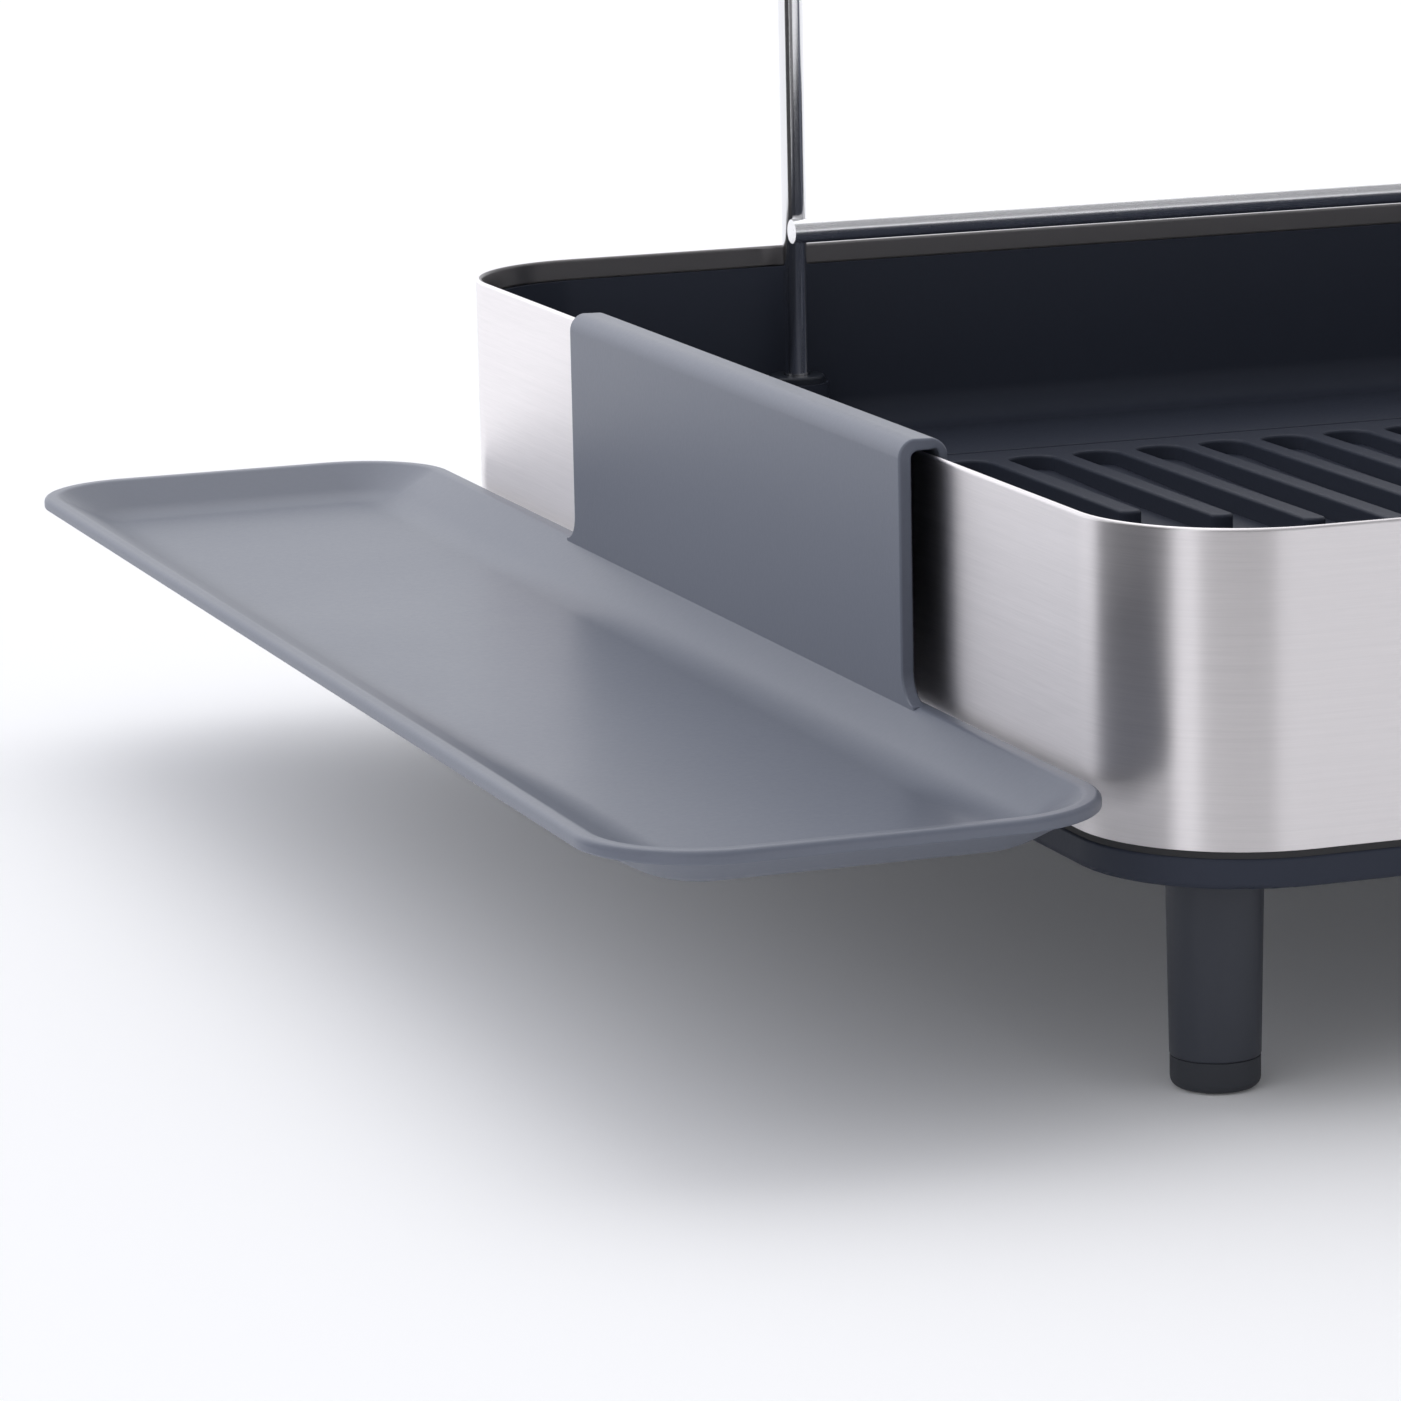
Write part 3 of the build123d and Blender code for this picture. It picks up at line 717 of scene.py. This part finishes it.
class Recipe:
    """A Geometry Nodes tree with named inputs, and the way it is run on an object."""

    crease = math.radians(40)

    def __init__(self, name: str, inputs: Mapping[str, SocketKind]) -> None:
        """Makes an empty tree.

        Args:
            name: the tree's name.
            inputs: each named input and its kind, besides the geometry and the finish.
        """
        tree = bpy.data.node_groups.new(name, "GeometryNodeTree")
        self.nodes = NodeTree(tree)
        tree.interface.new_socket("Geometry", in_out="INPUT", socket_type="NodeSocketGeometry")
        for title, kind in {**inputs, "Finish": SocketKind.MATERIAL}.items():
            tree.interface.new_socket(title, in_out="INPUT", socket_type=kind.value)
        tree.interface.new_socket("Geometry", in_out="OUTPUT", socket_type="NodeSocketGeometry")
        self.start = self.nodes.add("NodeGroupInput")

    def step(
        self, kind: str, inputs: Mapping[str | int, object], mode: str = ""
    ) -> Socket:
        """Adds a node.

        Args:
            kind: the node's type, without the part that all geometry nodes share.
            inputs: its inputs; a name alone stands for the tree's input of that name.
            mode: its mode, if it has one to set.

        Returns:
            Its first output.
        """
        given = {
            name: self.start.outputs[value] if isinstance(value, str) else value
            for name, value in inputs.items()
        }
        settings = {"mode": mode} if mode else None
        return self.nodes.add("GeometryNode" + kind, settings, given).outputs[0]

    def close(self, geometry: Socket) -> "Recipe":
        """Ends the tree: instances made real, smooth, and given the finish.

        Args:
            geometry: the socket that carries the shape.

        Returns:
            This recipe.
        """
        real = self.step("RealizeInstances", {"Geometry": geometry})
        smooth = self.step("SetShadeSmooth", {0: real})
        coated = self.step("SetMaterial", {"Geometry": smooth, "Material": "Finish"})
        self.nodes.add("NodeGroupOutput", None, {"Geometry": coated})
        return self

    def run(
        self,
        name: str,
        carrier: bpy.types.Object,
        finish: Finish,
        values: Mapping[str, object],
    ) -> bpy.types.Object:
        """Runs the tree on an object and returns a plain mesh piece.

        Args:
            name: the piece's name.
            carrier: the object that holds the starting geometry; it is removed.
            finish: the piece's finish.
            values: a value for each named input.

        Returns:
            The piece.
        """
        modifier = carrier.modifiers.new("recipe", "NODES")
        modifier.node_group = self.nodes.tree
        values = {**values, "Finish": finish.material()}
        for item in self.nodes.tree.interface.items_tree:
            if item.item_type == "SOCKET" and item.in_out == "INPUT" and item.name in values:
                modifier[item.identifier] = values[item.name]
        carrier.update_tag()
        mesh = settled_mesh(carrier, name)
        mesh.set_sharp_from_angle(angle=self.crease)
        return add_object(name, mesh)


def bent_wire_recipe() -> Recipe:
    """Round wire along a path, its bends rounded, repeated along a straight row.

    Returns:
        The recipe.
    """
    recipe = Recipe(
        "bent_wire",
        {
            "Wire Radius": SocketKind.LENGTH,
            "Bend Radius": SocketKind.LENGTH,
            "Bend Steps": SocketKind.COUNT,
            "Sides": SocketKind.COUNT,
            "Row Count": SocketKind.COUNT,
            "Row Step": SocketKind.PLACE,
        },
    )
    bends = {"Curve": "Geometry", "Count": "Bend Steps", "Radius": "Bend Radius", "Limit Radius": True}
    bent = recipe.step("FilletCurve", bends, mode="POLY")
    section = recipe.step("CurvePrimitiveCircle", {"Resolution": "Sides", "Radius": "Wire Radius"})
    swept = recipe.step("CurveToMesh", {"Curve": bent, "Profile Curve": section, "Fill Caps": True})
    row = recipe.step("MeshLine", {"Count": "Row Count", "Offset": "Row Step"})
    return recipe.close(recipe.step("InstanceOnPoints", {"Points": row, "Instance": swept}))


def four_corners_recipe() -> Recipe:
    """One piece repeated at the four corners of a rectangle.

    Returns:
        The recipe.
    """
    recipe = Recipe(
        "four_corners",
        {"Span X": SocketKind.LENGTH, "Span Y": SocketKind.LENGTH, "Middle": SocketKind.PLACE},
    )
    spans = {"Size X": "Span X", "Size Y": "Span Y", "Vertices X": 2, "Vertices Y": 2}
    grid = recipe.step("MeshGrid", spans)
    spread = recipe.step("InstanceOnPoints", {"Points": grid, "Instance": "Geometry"})
    return recipe.close(recipe.step("Transform", {"Geometry": spread, "Translation": "Middle"}))


@dataclass
class WireBench:
    """Makes pieces of round wire."""

    sides: int = 28
    bend_steps: int = 10
    end_round: float = 0.8
    end_steps: int = 3
    recipe: Recipe = field(default_factory=bent_wire_recipe)

    def wire(
        self,
        name: str,
        path: Sequence[Point3],
        radius: float,
        finish: Finish,
        bend: float = 0.0,
        closed: bool = False,
        count: int = 1,
        step: float = 0.0,
    ) -> bpy.types.Object:
        """Sweeps round wire along a path and repeats it in a row.

        Args:
            name: the piece's name.
            path: the corners of the wire's middle line.
            radius: the wire's radius.
            finish: its finish.
            bend: radius of its bends.
            closed: whether its ends are welded together.
            count: wires in the row.
            step: shift from wire to wire, left to right.

        Returns:
            The piece.
        """
        points = [(*point, 1.0) for point in path]
        if not closed:
            points = self._rounded_end(points, radius)
            points = self._rounded_end(points[::-1], radius)[::-1]
        curve = bpy.data.curves.new(name + "_line", "CURVE")
        curve.dimensions = "3D"
        spline = curve.splines.new("POLY")
        spline.points.add(len(points) - 1)
        for target, (x, y, z, share) in zip(spline.points, points):
            target.co = (x * MM, y * MM, z * MM, 1.0)
            target.radius = share
        spline.use_cyclic_u = closed
        values = {
            "Wire Radius": radius * MM,
            "Bend Radius": bend * MM,
            "Bend Steps": self.bend_steps,
            "Sides": self.sides,
            "Row Count": count,
            "Row Step": [step * MM, 0.0, 0.0],
        }
        return self.recipe.run(name, add_object(name + "_carrier", curve), finish, values)

    def _rounded_end(self, points: list[WirePoint], radius: float) -> list[WirePoint]:
        """Adds points that draw the wire in at its first end.

        Args:
            points: the path with the wire's share of its radius at each point.
            radius: the wire's radius.

        Returns:
            The longer path.
        """
        first, second = Vector(points[0][:3]), Vector(points[1][:3])
        ahead = (second - first).normalized()
        added = []
        for step in range(self.end_steps + 1):
            angle = math.pi / 2 * step / self.end_steps
            along = self.end_round * (1 - math.cos(angle))
            share = 1 - self.end_round / radius * (1 - math.sin(angle))
            added.append((*(first + ahead * along), share))
        return added + points[1:]


# ---- Sub-assemblies ----


@dataclass
class SteelBand:
    """The brushed band round the base tray, with its rim folded down inside."""

    corner: float = 27.5
    corner_steps: int = 24
    sheet: float = 0.6
    hem: float = 4.0
    rim_round: float = 0.58
    cut_round: float = 0.12

    def outline(self) -> PlanOutline:
        """The band's outside in plan."""
        low, high = node_box("steel_band")
        middle, size = (low + high) / 2, high - low
        return PlanOutline((middle.x, middle.y), size.x, size.y, self.corner, self.corner_steps)

    def build(self) -> None:
        """Builds the band and its seal, a black rubber strip that seats the band and whose black
        paints the shadow line under it.
        """
        low, high = node_box("steel_band")
        outline = self.outline()
        section = rounded_path(
            (
                (0.0, low.z, self.cut_round),
                (0.0, high.z, self.rim_round),
                (2 * self.sheet, high.z, self.rim_round),
                (2 * self.sheet, high.z - self.hem, self.cut_round),
                (self.sheet, high.z - self.hem, 0.0),
                (self.sheet, low.z, self.cut_round),
            ),
            closed=True,
        )
        skin = Skin()
        skin.loft([outline.ring(across, up) for across, up in section], closed=True)
        band = show("steel_band_skin", skin.mesh("steel_band_skin"), BAND_STEEL)
        place_piece(band, "base", ["steel_band"])
        # the seal seats the band; its black paints the shadow line in the gap under the band
        dress(SEAL_AND_SHADE_LINE_RUBBER, "band_seal")


@dataclass
class BaseTray:
    """The ribbed base tray, its floor redrawn with rounded ribs and groove ends."""

    floor_top: float = 51.6
    ledge: float = 51.0
    wall_inside: float = 2.7
    cove: float = 7.0
    corner: float = 27.5
    rib_pitch: float = 14.06
    rib_width: float = 4.5
    tip_slope: float = 0.81
    tip_reach: float = 47.0
    tip_round: float = 0.98
    channel: float = 48.0
    groove_end: float = 4.0
    edge_round: float = 0.7
    edge_steps: int = 4
    line_inset: float = 42.0
    line_width: float = 1.2
    line_depth: float = 0.5
    line_corner: float = 12.0
    line_round: float = 0.2
    wall_drop: float = 5.6
    groove_depth: float = 5.45
    slack: float = 0.01
    field_margin: float = 1.0
    wall_least: float = 0.5

    def comb(self, half_count: int, half_y: float, spread: float) -> list[Point2]:
        """Outline of the grooves and the channel, as one closed path.

        Args:
            half_count: ribs to each side of the middle one.
            half_y: half the ribbed field, front to back.
            spread: how far the outline is moved into the ribs and the border.

        Returns:
            The outline's points about the tray's middle.
        """
        outermost = half_count * self.rib_pitch
        half_x = self.half_field(half_count)
        half_width = self.rib_width / 2 - spread
        border = self.groove_end + spread
        tip_round = half_width * self.tip_round
        corners: list[Point3] = []
        for side in (1, -1):
            edge = side * (half_y + spread)
            corners.append((side * (half_x + spread), edge, border))
            for index in range(half_count, -half_count - 1, -1):
                x = side * index * self.rib_pitch
                length = self.tip_reach + self.tip_slope * (outermost - abs(x))
                tip = side * (half_y - min(length, half_y - self.channel / 2) + spread)
                near, far = x + side * half_width, x - side * half_width
                corners += [(near, edge, border), (near, tip, tip_round)]
                corners += [(far, tip, tip_round), (far, edge, border)]
            corners.append((-side * (half_x + spread), edge, border))
        return rounded_path(corners, closed=True, steps=5)

    def build(self) -> None:
        """Builds the tray from its own shell and a new floor."""
        band = SteelBand().outline()
        centre_x, centre_y = band.centre
        room = band.width / 2 - self.ledge + self.rib_width / 2
        half_count = int(room / self.rib_pitch) - 1
        half_x = self.half_field(half_count)
        half_y = band.depth / 2 - self.ledge

        def on_floor(corners: Sequence[Vector]) -> bool:
            """Whether a face of the shell belongs to the floor that is redrawn."""
            lowest = min(corner.z for corner in corners)
            highest = max(corner.z for corner in corners)
            if lowest > self.floor_top - self.line_depth - 5 * self.slack:
                return highest < self.floor_top + self.slack
            inside = all(
                abs(corner.x - centre_x) < half_x + self.field_margin
                and abs(corner.y - centre_y) < half_y + self.field_margin
                for corner in corners
            )
            upright = highest > self.floor_top - self.slack and highest - lowest > self.wall_least
            return inside and upright and lowest > self.floor_top - self.groove_depth

        def comb_ring(spread: float, height: float) -> list[Point3]:
            """The comb outline as a level ring in place."""
            outline = self.comb(half_count, half_y, spread)
            return [(centre_x + x, centre_y + y, height) for x, y in outline]

        skin = Skin()
        skin.take(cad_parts["base_tray"].data, on_floor)
        rings = [comb_ring(0.0, self.floor_top - self.wall_drop)]
        for step in range(self.edge_steps + 1):
            angle = math.pi / 2 * step / self.edge_steps
            spread = self.edge_round * (1 - math.cos(angle))
            rings.append(comb_ring(spread, self.floor_top - self.edge_round * (1 - math.sin(angle))))
        comb_top = skin.loft(rings)[-1]
        groove = skin.loft(self._line_rings(band))
        edge = PlanOutline(band.centre, band.width, band.depth, self.corner, steps=10)
        border = skin.ring(edge.ring(self.wall_inside + self.cove, self.floor_top))
        skin.fill(border, groove[0])
        skin.fill(groove[-1], comb_top)
        tray = show("base_tray_skin", skin.mesh("base_tray_skin", turn_out=False), TRAY_SLATE, 38.0)
        place_piece(tray, "base", ["base_tray"])

    def half_field(self, half_count: int) -> float:
        """Half the ribbed field, left to right, for so many ribs each side of the middle."""
        return (half_count + 1) * self.rib_pitch - self.rib_width / 2

    def _line_rings(self, band: PlanOutline) -> list[list[Point3]]:
        """The fine line round the ribbed field.

        Args:
            band: the band's outside in plan.

        Returns:
            Rings over the line's section, from its outer edge to its inner one.
        """
        line = PlanOutline(
            band.centre,
            band.width - 2 * self.line_inset,
            band.depth - 2 * self.line_inset,
            self.line_corner,
            steps=10,
        )
        soft, mild, deep = self.line_round, self.line_round * 0.3, self.line_depth
        half = [(-soft, 0.0), (-mild, mild), (0.0, soft)]
        half += [(0.0, deep - soft), (mild, deep - mild), (soft, deep)]
        whole = half + [(self.line_width - across, drop) for across, drop in half[::-1]]
        return [line.ring(across, self.floor_top - drop) for across, drop in whole]


@dataclass
class Legs:
    """Four tapered legs with rubber feet and hidden screws."""

    top_radius: float = 7.7
    foot_radius: float = 7.2
    seam: float = 5.1
    seam_round: float = 0.35
    rubber_radius: float = 7.12
    rubber_round: float = 1.5
    rubber_top_round: float = 0.25
    socket_depth: float = 8.0
    hole: float = 0.02
    top_gap: float = 0.05
    recipe: Recipe = field(default_factory=four_corners_recipe)

    def build(self) -> None:
        """Builds one leg and one foot and repeats them at the corners."""
        low, high = node_box("leg_front_left")
        far_low, far_high = node_box("leg_back_right")
        values = {
            "Span X": (far_low.x - low.x) * MM,
            "Span Y": (far_low.y - low.y) * MM,
            "Middle": [(low.x + far_high.x) / 2 * MM, (low.y + far_high.y) / 2 * MM, 0.0],
        }
        leg = (
            (self.hole, self.seam, 0.0),
            (self.foot_radius, self.seam, self.seam_round),
            (self.top_radius, high.z - self.socket_depth, 0.0),
            (self.top_radius, high.z - self.top_gap, 0.0),
            (self.hole, high.z - self.top_gap, 0.0),
        )
        foot = (
            (self.hole, 0.0, 0.0),
            (self.rubber_radius, 0.0, self.rubber_round),
            (self.rubber_radius, self.seam - self.hole, self.rubber_top_round),
            (self.hole, self.seam - self.hole, 0.0),
        )
        for name, section, finish, slot, node in (
            ("legs", leg, LEG_SLATE, "leg_plastic", "leg"),
            ("feet", foot, FOOT_RUBBER, "foot_rubber", "foot"),
        ):
            skin = Skin()
            skin.loft([circle(across, up) for across, up in rounded_path(section)], capped=True)
            one = show(name + "_one", skin.mesh(name + "_one"), finish)
            four = self.recipe.run(name, one, finish, values)
            place_piece(four, "base", [f"{node}_{corner}" for corner in CORNERS])
        dress(SCREW_STEEL, "leg_screws")


@dataclass
class SideTray:
    """The shallow side tray and the hook plate that hangs it on the rim."""

    corner: float = 20.4
    top: float = 50.5
    lip_width: float = 2.7
    lip_height: float = 2.2
    depth: float = 8.2
    wall: float = 2.2
    slope_run: float = 11.0
    flat_run: float = 14.0
    cove: float = 16.0
    crest_round: float = 2.2
    outer_rounds: tuple[float, float, float] = (1.0, 0.45, 0.3)
    band_gap: float = 1.6
    plate_gap: float = 3.1
    rim: float = 1.2
    hook_half: float = 83.25
    hook_shift: float = -11.4
    hook_clearance: float = 0.7
    hook_bends: tuple[float, float] = (2.15, 2.0)
    plate: float = 2.3
    plate_lip: float = 1.4
    plate_edge: float = 0.45
    plate_edge_share: float = 0.3
    plate_root: float = 1.2
    root_step: float = 0.7
    thin_from: float = 0.6
    thin_over: float = 0.2
    hook_low: float = 87.3
    flare: float = 5.0
    flare_steps: int = 8

    def build(self) -> None:
        """Builds the dish and the hook as one moulding."""
        low, high = node_box("side_tray")
        band_x = node_box("steel_band")[0].x
        width, depth = band_x - self.band_gap - low.x, high.y - low.y
        middle_y = (low.y + high.y) / 2
        outline = PlanOutline((low.x + width / 2, middle_y), width, depth, self.corner, steps=20)
        under, bottom = self.top - self.lip_height, self.top - self.depth
        floor = bottom + self.wall
        inner, outer = self.lip_width + self.slope_run, self.wall + self.slope_run
        crest, edge, step = self.outer_rounds
        section = rounded_path(
            (
                (inner + self.flat_run, floor, 0.0),
                (inner, floor, self.cove),
                (self.lip_width, self.top, self.crest_round),
                (0.0, self.top, crest),
                (0.0, under, edge),
                (self.wall, under, step),
                (outer, bottom, self.cove),
                (outer + self.flat_run, bottom, 0.0),
            ),
            steps=7,
        )
        skin = Skin()
        skin.loft([outline.ring(across, up) for across, up in section], capped=True)
        self._hook(skin, band_x, middle_y + self.hook_shift, high.z)
        tray = show("side_tray_skin", skin.mesh("side_tray_skin"), SIDE_SLATE, 40.0)
        place_piece(tray, "side_tray", ["side_tray"])

    def _hook(self, skin: Skin, band_x: float, middle_y: float, top: float) -> None:
        """Adds the hook: a strip that runs up the plate, over the rim and down inside.

        Args:
            skin: the moulding's mesh.
            band_x: the band's left outside.
            middle_y: middle of the plate.
            top: top of the hook.
        """
        plate_x = band_x - self.plate_gap - self.plate / 2
        lip_x = band_x + self.rim + self.hook_clearance + self.plate_lip / 2
        over, root = top - self.plate / 2, self.top - self.plate_root
        first_bend, second_bend = self.hook_bends
        run = rounded_path(
            (
                (plate_x, root, 0.0),
                (plate_x, over, first_bend),
                (lip_x, over, second_bend),
                (lip_x, self.hook_low, 0.0),
            ),
            steps=8,
        )
        heights = [root, root + self.root_step, self.top]
        for step in range(1, self.flare_steps + 1):
            turn = math.pi / 2 * step / self.flare_steps
            heights.append(self.top + self.flare * (1 - math.cos(turn)))
        stations = [(plate_x, height) for height in heights] + run[1:]
        last = len(stations) - 1
        rings = []
        for index, (x, z) in enumerate(stations):
            before, after = Vector(stations[max(index - 1, 0)]), Vector(stations[min(index + 1, last)])
            ahead = (after - before).normalized()
            late = min(1.0, max(0.0, (index / last - self.thin_from) / self.thin_over))
            thick = self.plate + (self.plate_lip - self.plate) * late
            left = self.flare - (z - self.top)
            extra = 0.0
            if x == plate_x and left > 0:
                extra = self.flare - math.sqrt(self.flare**2 - min(left, self.flare) ** 2)
            half = self.hook_half + extra
            edge = min(self.plate_edge, thick * self.plate_edge_share)
            sides = ((thick / 2, half), (-thick / 2, half), (-thick / 2, -half), (thick / 2, -half))
            section = rounded_path([(*side, edge) for side in sides], closed=True, steps=4)
            rings.append([(x - ahead.y * a, middle_y + b, z + ahead.x * a) for a, b in section])
        skin.loft(rings, capped=True)


@dataclass
class WireRack:
    """Rods, rails, tier frame, cross wires and plate hoops of the lift-out wire rack."""

    bench: WireBench = field(default_factory=WireBench)
    tier_bend: float = 12.0
    hoop_bend: float = 18.0
    cross_count: int = 11
    hoop_count: int = 9

    def build(self) -> None:
        """Builds every wire."""
        for corner in CORNERS:
            self._straight(f"rod_{corner}_skin", [f"rod_{corner}"], 2, ROD_STEEL)
        for side in ("front", "back"):
            self._straight(f"rail_{side}_skin", [f"rail_{side}"], 0, RAIL_STEEL)
        self._frame()
        crossing = [f"cross_wire_{index:02d}" for index in range(1, self.cross_count + 1)]
        self._straight("cross_wires", crossing, 1, TIER_STEEL)
        self._hoops()

    @staticmethod
    def _place(wire: bpy.types.Object, nodes: Sequence[str]) -> None:
        """Ties a wire to the rack's body."""
        place_piece(wire, "wire_rack", nodes)

    @staticmethod
    def _row_step(nodes: Sequence[str]) -> float:
        """Shift from one piece of a level row to the next, left to right."""
        return (node_box(nodes[-1])[1].x - node_box(nodes[0])[1].x) / max(len(nodes) - 1, 1)

    def _straight(self, name: str, nodes: Sequence[str], axis: int, finish: Finish) -> None:
        """Makes a straight wire, or a row of them.

        Args:
            name: the piece's name.
            nodes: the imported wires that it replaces, from left to right.
            axis: the axis along which they run.
            finish: their finish.
        """
        low, high = node_box(nodes[0])
        middle = (low + high) / 2
        ends = [tuple(end[i] if i == axis else middle[i] for i in range(3)) for end in (low, high)]
        across = 2 if axis == 0 else 0
        radius = (high[across] - low[across]) / 2
        step = self._row_step(nodes)
        wire = self.bench.wire(name, ends, radius, finish, count=len(nodes), step=step)
        self._place(wire, nodes)

    def _frame(self) -> None:
        """The tier's frame."""
        low, high = node_box("tier_frame")
        radius, z = (high.z - low.z) / 2, (low.z + high.z) / 2
        left, right = low.x + radius, high.x - radius
        front, back = low.y + radius, high.y - radius
        path = [(right, back, z), (left, back, z), (left, front, z), (right, front, z)]
        tier = self.bench.wire(
            "tier_frame_skin", path, radius, TIER_STEEL, bend=self.tier_bend, closed=True
        )
        self._place(tier, ["tier_frame"])

    def _hoops(self) -> None:
        """The row of plate hoops."""
        nodes = [f"plate_hoop_{index}" for index in range(1, self.hoop_count + 1)]
        low, high = node_box(nodes[0])
        radius, x = (high.x - low.x) / 2, (low.x + high.x) / 2
        front, back, top = low.y + radius, high.y - radius, high.z - radius
        path = [(x, front, low.z), (x, front, top), (x, back, top), (x, back, low.z)]
        hoops = self.bench.wire(
            "plate_hoops",
            path,
            radius,
            ROD_STEEL,
            bend=self.hoop_bend,
            count=self.hoop_count,
            step=self._row_step(nodes),
        )
        self._place(hoops, nodes)


@dataclass
class KeptPieces:
    """Cutlery holder, collars, drain and spout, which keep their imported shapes."""

    finishes: tuple[tuple[Finish, tuple[str, ...]], ...] = (
        (HOLDER_SLATE, ("cutlery_holder",)),
        (TRAY_SLATE, ("holder_divider",)),
        (COLLAR_SLATE, tuple(f"collar_{corner}" for corner in CORNERS)),
        (STRAINER_SLATE, ("drain_strainer",)),
        (SPOUT_SLATE, ("spout_arm", "spout_extension", "spout_retainer")),
        (SEAL_AND_SHADE_LINE_RUBBER, ("spout_washer",)),
    )

    def build(self) -> None:
        """Dresses each piece."""
        for finish, nodes in self.finishes:
            dress(finish, *nodes)


# ---- Studio ----


@dataclass(frozen=True)
class Card:
    """An upright card that only reflections show. Its places are metres."""

    name: str
    foot: Point2
    run: Point2
    glow: float
    height: float = 0.6

    def build(self) -> None:
        """Stands the card up: foot is the middle of its foot, run goes from there to one end."""
        (x, y), (run_x, run_y) = self.foot, self.run
        ends = ((x - run_x, y - run_y), (x + run_x, y + run_y))
        lower = [(*end, 0.0) for end in ends]
        upper = [(*end, self.height) for end in reversed(ends)]
        mesh = bpy.data.meshes.new(self.name)
        mesh.from_pydata(lower + upper, [], [(0, 1, 2, 3)])
        inputs = {"Color": (0.98, 0.97, 1.0, 1.0), "Strength": self.glow}
        mesh.materials.append(plain_material(self.name, "ShaderNodeEmission", inputs))
        card = add_object(self.name, mesh)
        card.visible_camera = card.visible_diffuse = card.visible_shadow = False


@dataclass
class Studio:
    """Floor, surrounding, lamp, cards and camera."""

    place: Point3 = (-541.65, -980.81, 248.17)
    turn: float = 19.71
    look_down: float = 11.66
    roll: float = -1.23
    lens: float = 152.77
    floor_colour: Colour = (0.90, 0.90, 0.905)
    floor_reach: float = 6.0
    floor_drop: float = 0.0002
    floor_glow: float = 0.035
    horizon_glow: float = 1.15
    horizon_top: float = 0.24
    horizon_fade: float = 7.0
    open_back: float = 0.6
    open_left: float = 0.7
    open_level: float = 0.5
    sky_front: float = 0.36
    sky_back: float = 1.45
    lamp_place: Point3 = (0.8, 2.0, 4.7)
    lamp_size: float = 5.0
    lamp_power: float = 66.0
    cards: tuple[Card, ...] = (
        Card("dark_card", (-0.44, -0.10), (-0.02, 0.17), 0.06),
        Card("grey_card", (-0.33, -0.50), (-0.16, 0.07), 0.22),
    )

    def build(self) -> None:
        """Sets up the studio."""
        bpy.context.scene.view_settings.view_transform = "Standard"
        self._floor()
        self._world()
        self._lamp()
        for card in self.cards:
            card.build()
        self._camera()

    def _floor(self) -> None:
        """A plain pale floor."""
        mesh = bpy.data.meshes.new("studio_floor")
        reach, z = self.floor_reach, -self.floor_drop
        corners = [(-reach, -reach, z), (reach, -reach, z), (reach, reach, z), (-reach, reach, z)]
        mesh.from_pydata(corners, [], [(0, 1, 2, 3)])
        inputs = {
            "Base Color": scaled(self.floor_colour),
            "Roughness": 0.9,
            "Emission Color": (0.95, 0.97, 1.0, 1.0),
            "Emission Strength": self.floor_glow,
        }
        paper = plain_material("studio_floor_paper", "ShaderNodeBsdfPrincipled", inputs)
        mesh.materials.append(paper)
        add_object("studio_floor", mesh)

    def _world(self) -> None:
        """A surrounding that is bright along the horizon and towards the back left."""
        world = bpy.data.worlds.new("studio_surrounding")
        world.use_nodes = True
        bpy.context.scene.world = world
        nodes = NodeTree(world.node_tree)
        direction = nodes.add("ShaderNodeTexCoord").outputs["Generated"]
        axes = nodes.add("ShaderNodeSeparateXYZ", None, {0: direction})
        right, back, height = (Signal(nodes, socket) for socket in axes.outputs)
        horizon = ((self.horizon_top - height) * self.horizon_fade).clamp(0.0, 1.0)
        sideways = back * self.open_back - right * self.open_left
        open_side = (sideways + self.open_level).clamp(0.0, 1.0)
        above = open_side * (self.sky_back - self.sky_front) + self.sky_front
        strength = horizon * self.horizon_glow + (1.0 - horizon) * above
        inputs = {"Color": (0.98, 0.985, 1.025, 1.0), "Strength": strength}
        background = nodes.add("ShaderNodeBackground", None, inputs)
        nodes.add("ShaderNodeOutputWorld", None, {"Surface": background.outputs[0]})

    def _lamp(self) -> None:
        """A soft square lamp that points at the middle of the floor."""
        light = bpy.data.lights.new("key_lamp", "AREA")
        light.shape = "SQUARE"
        light.size = self.lamp_size
        light.energy = self.lamp_power
        lamp = add_object("key_lamp", light)
        lamp.location = self.lamp_place
        lamp.rotation_euler = (-Vector(self.lamp_place)).to_track_quat("-Z", "Y").to_euler()

    def _camera(self) -> None:
        """The camera that frames the object."""
        turn, down, roll = (math.radians(v) for v in (self.turn, self.look_down, self.roll))
        flat = math.cos(down)
        ahead = Vector((math.sin(turn) * flat, math.cos(turn) * flat, -math.sin(down)))
        level = Vector((math.cos(turn), -math.sin(turn), 0.0))
        upright = level.cross(ahead)
        right = level * math.cos(roll) + upright * math.sin(roll)
        up = -level * math.sin(roll) + upright * math.cos(roll)
        data = bpy.data.cameras.new("studio_camera")
        data.sensor_fit = "HORIZONTAL"
        data.sensor_width = 36.0
        data.lens = self.lens
        data.clip_start = 0.02
        data.clip_end = 60.0
        camera = add_object("studio_camera", data)
        axes = Matrix((right, up, -ahead)).transposed().to_4x4()
        camera.matrix_world = Matrix.Translation(Vector(self.place) * MM) @ axes
        bpy.context.scene.camera = camera


def main() -> None:
    """Builds every sub-assembly in order, then the studio."""
    logging.basicConfig(level=logging.INFO, format="%(name)s: %(message)s")
    parts = (SteelBand, BaseTray, Legs, SideTray, WireRack, KeptPieces, Studio)
    for part in parts:
        LOG.info("building %s", part.__name__)
        part().build()


if __name__ == "__main__":
    main()
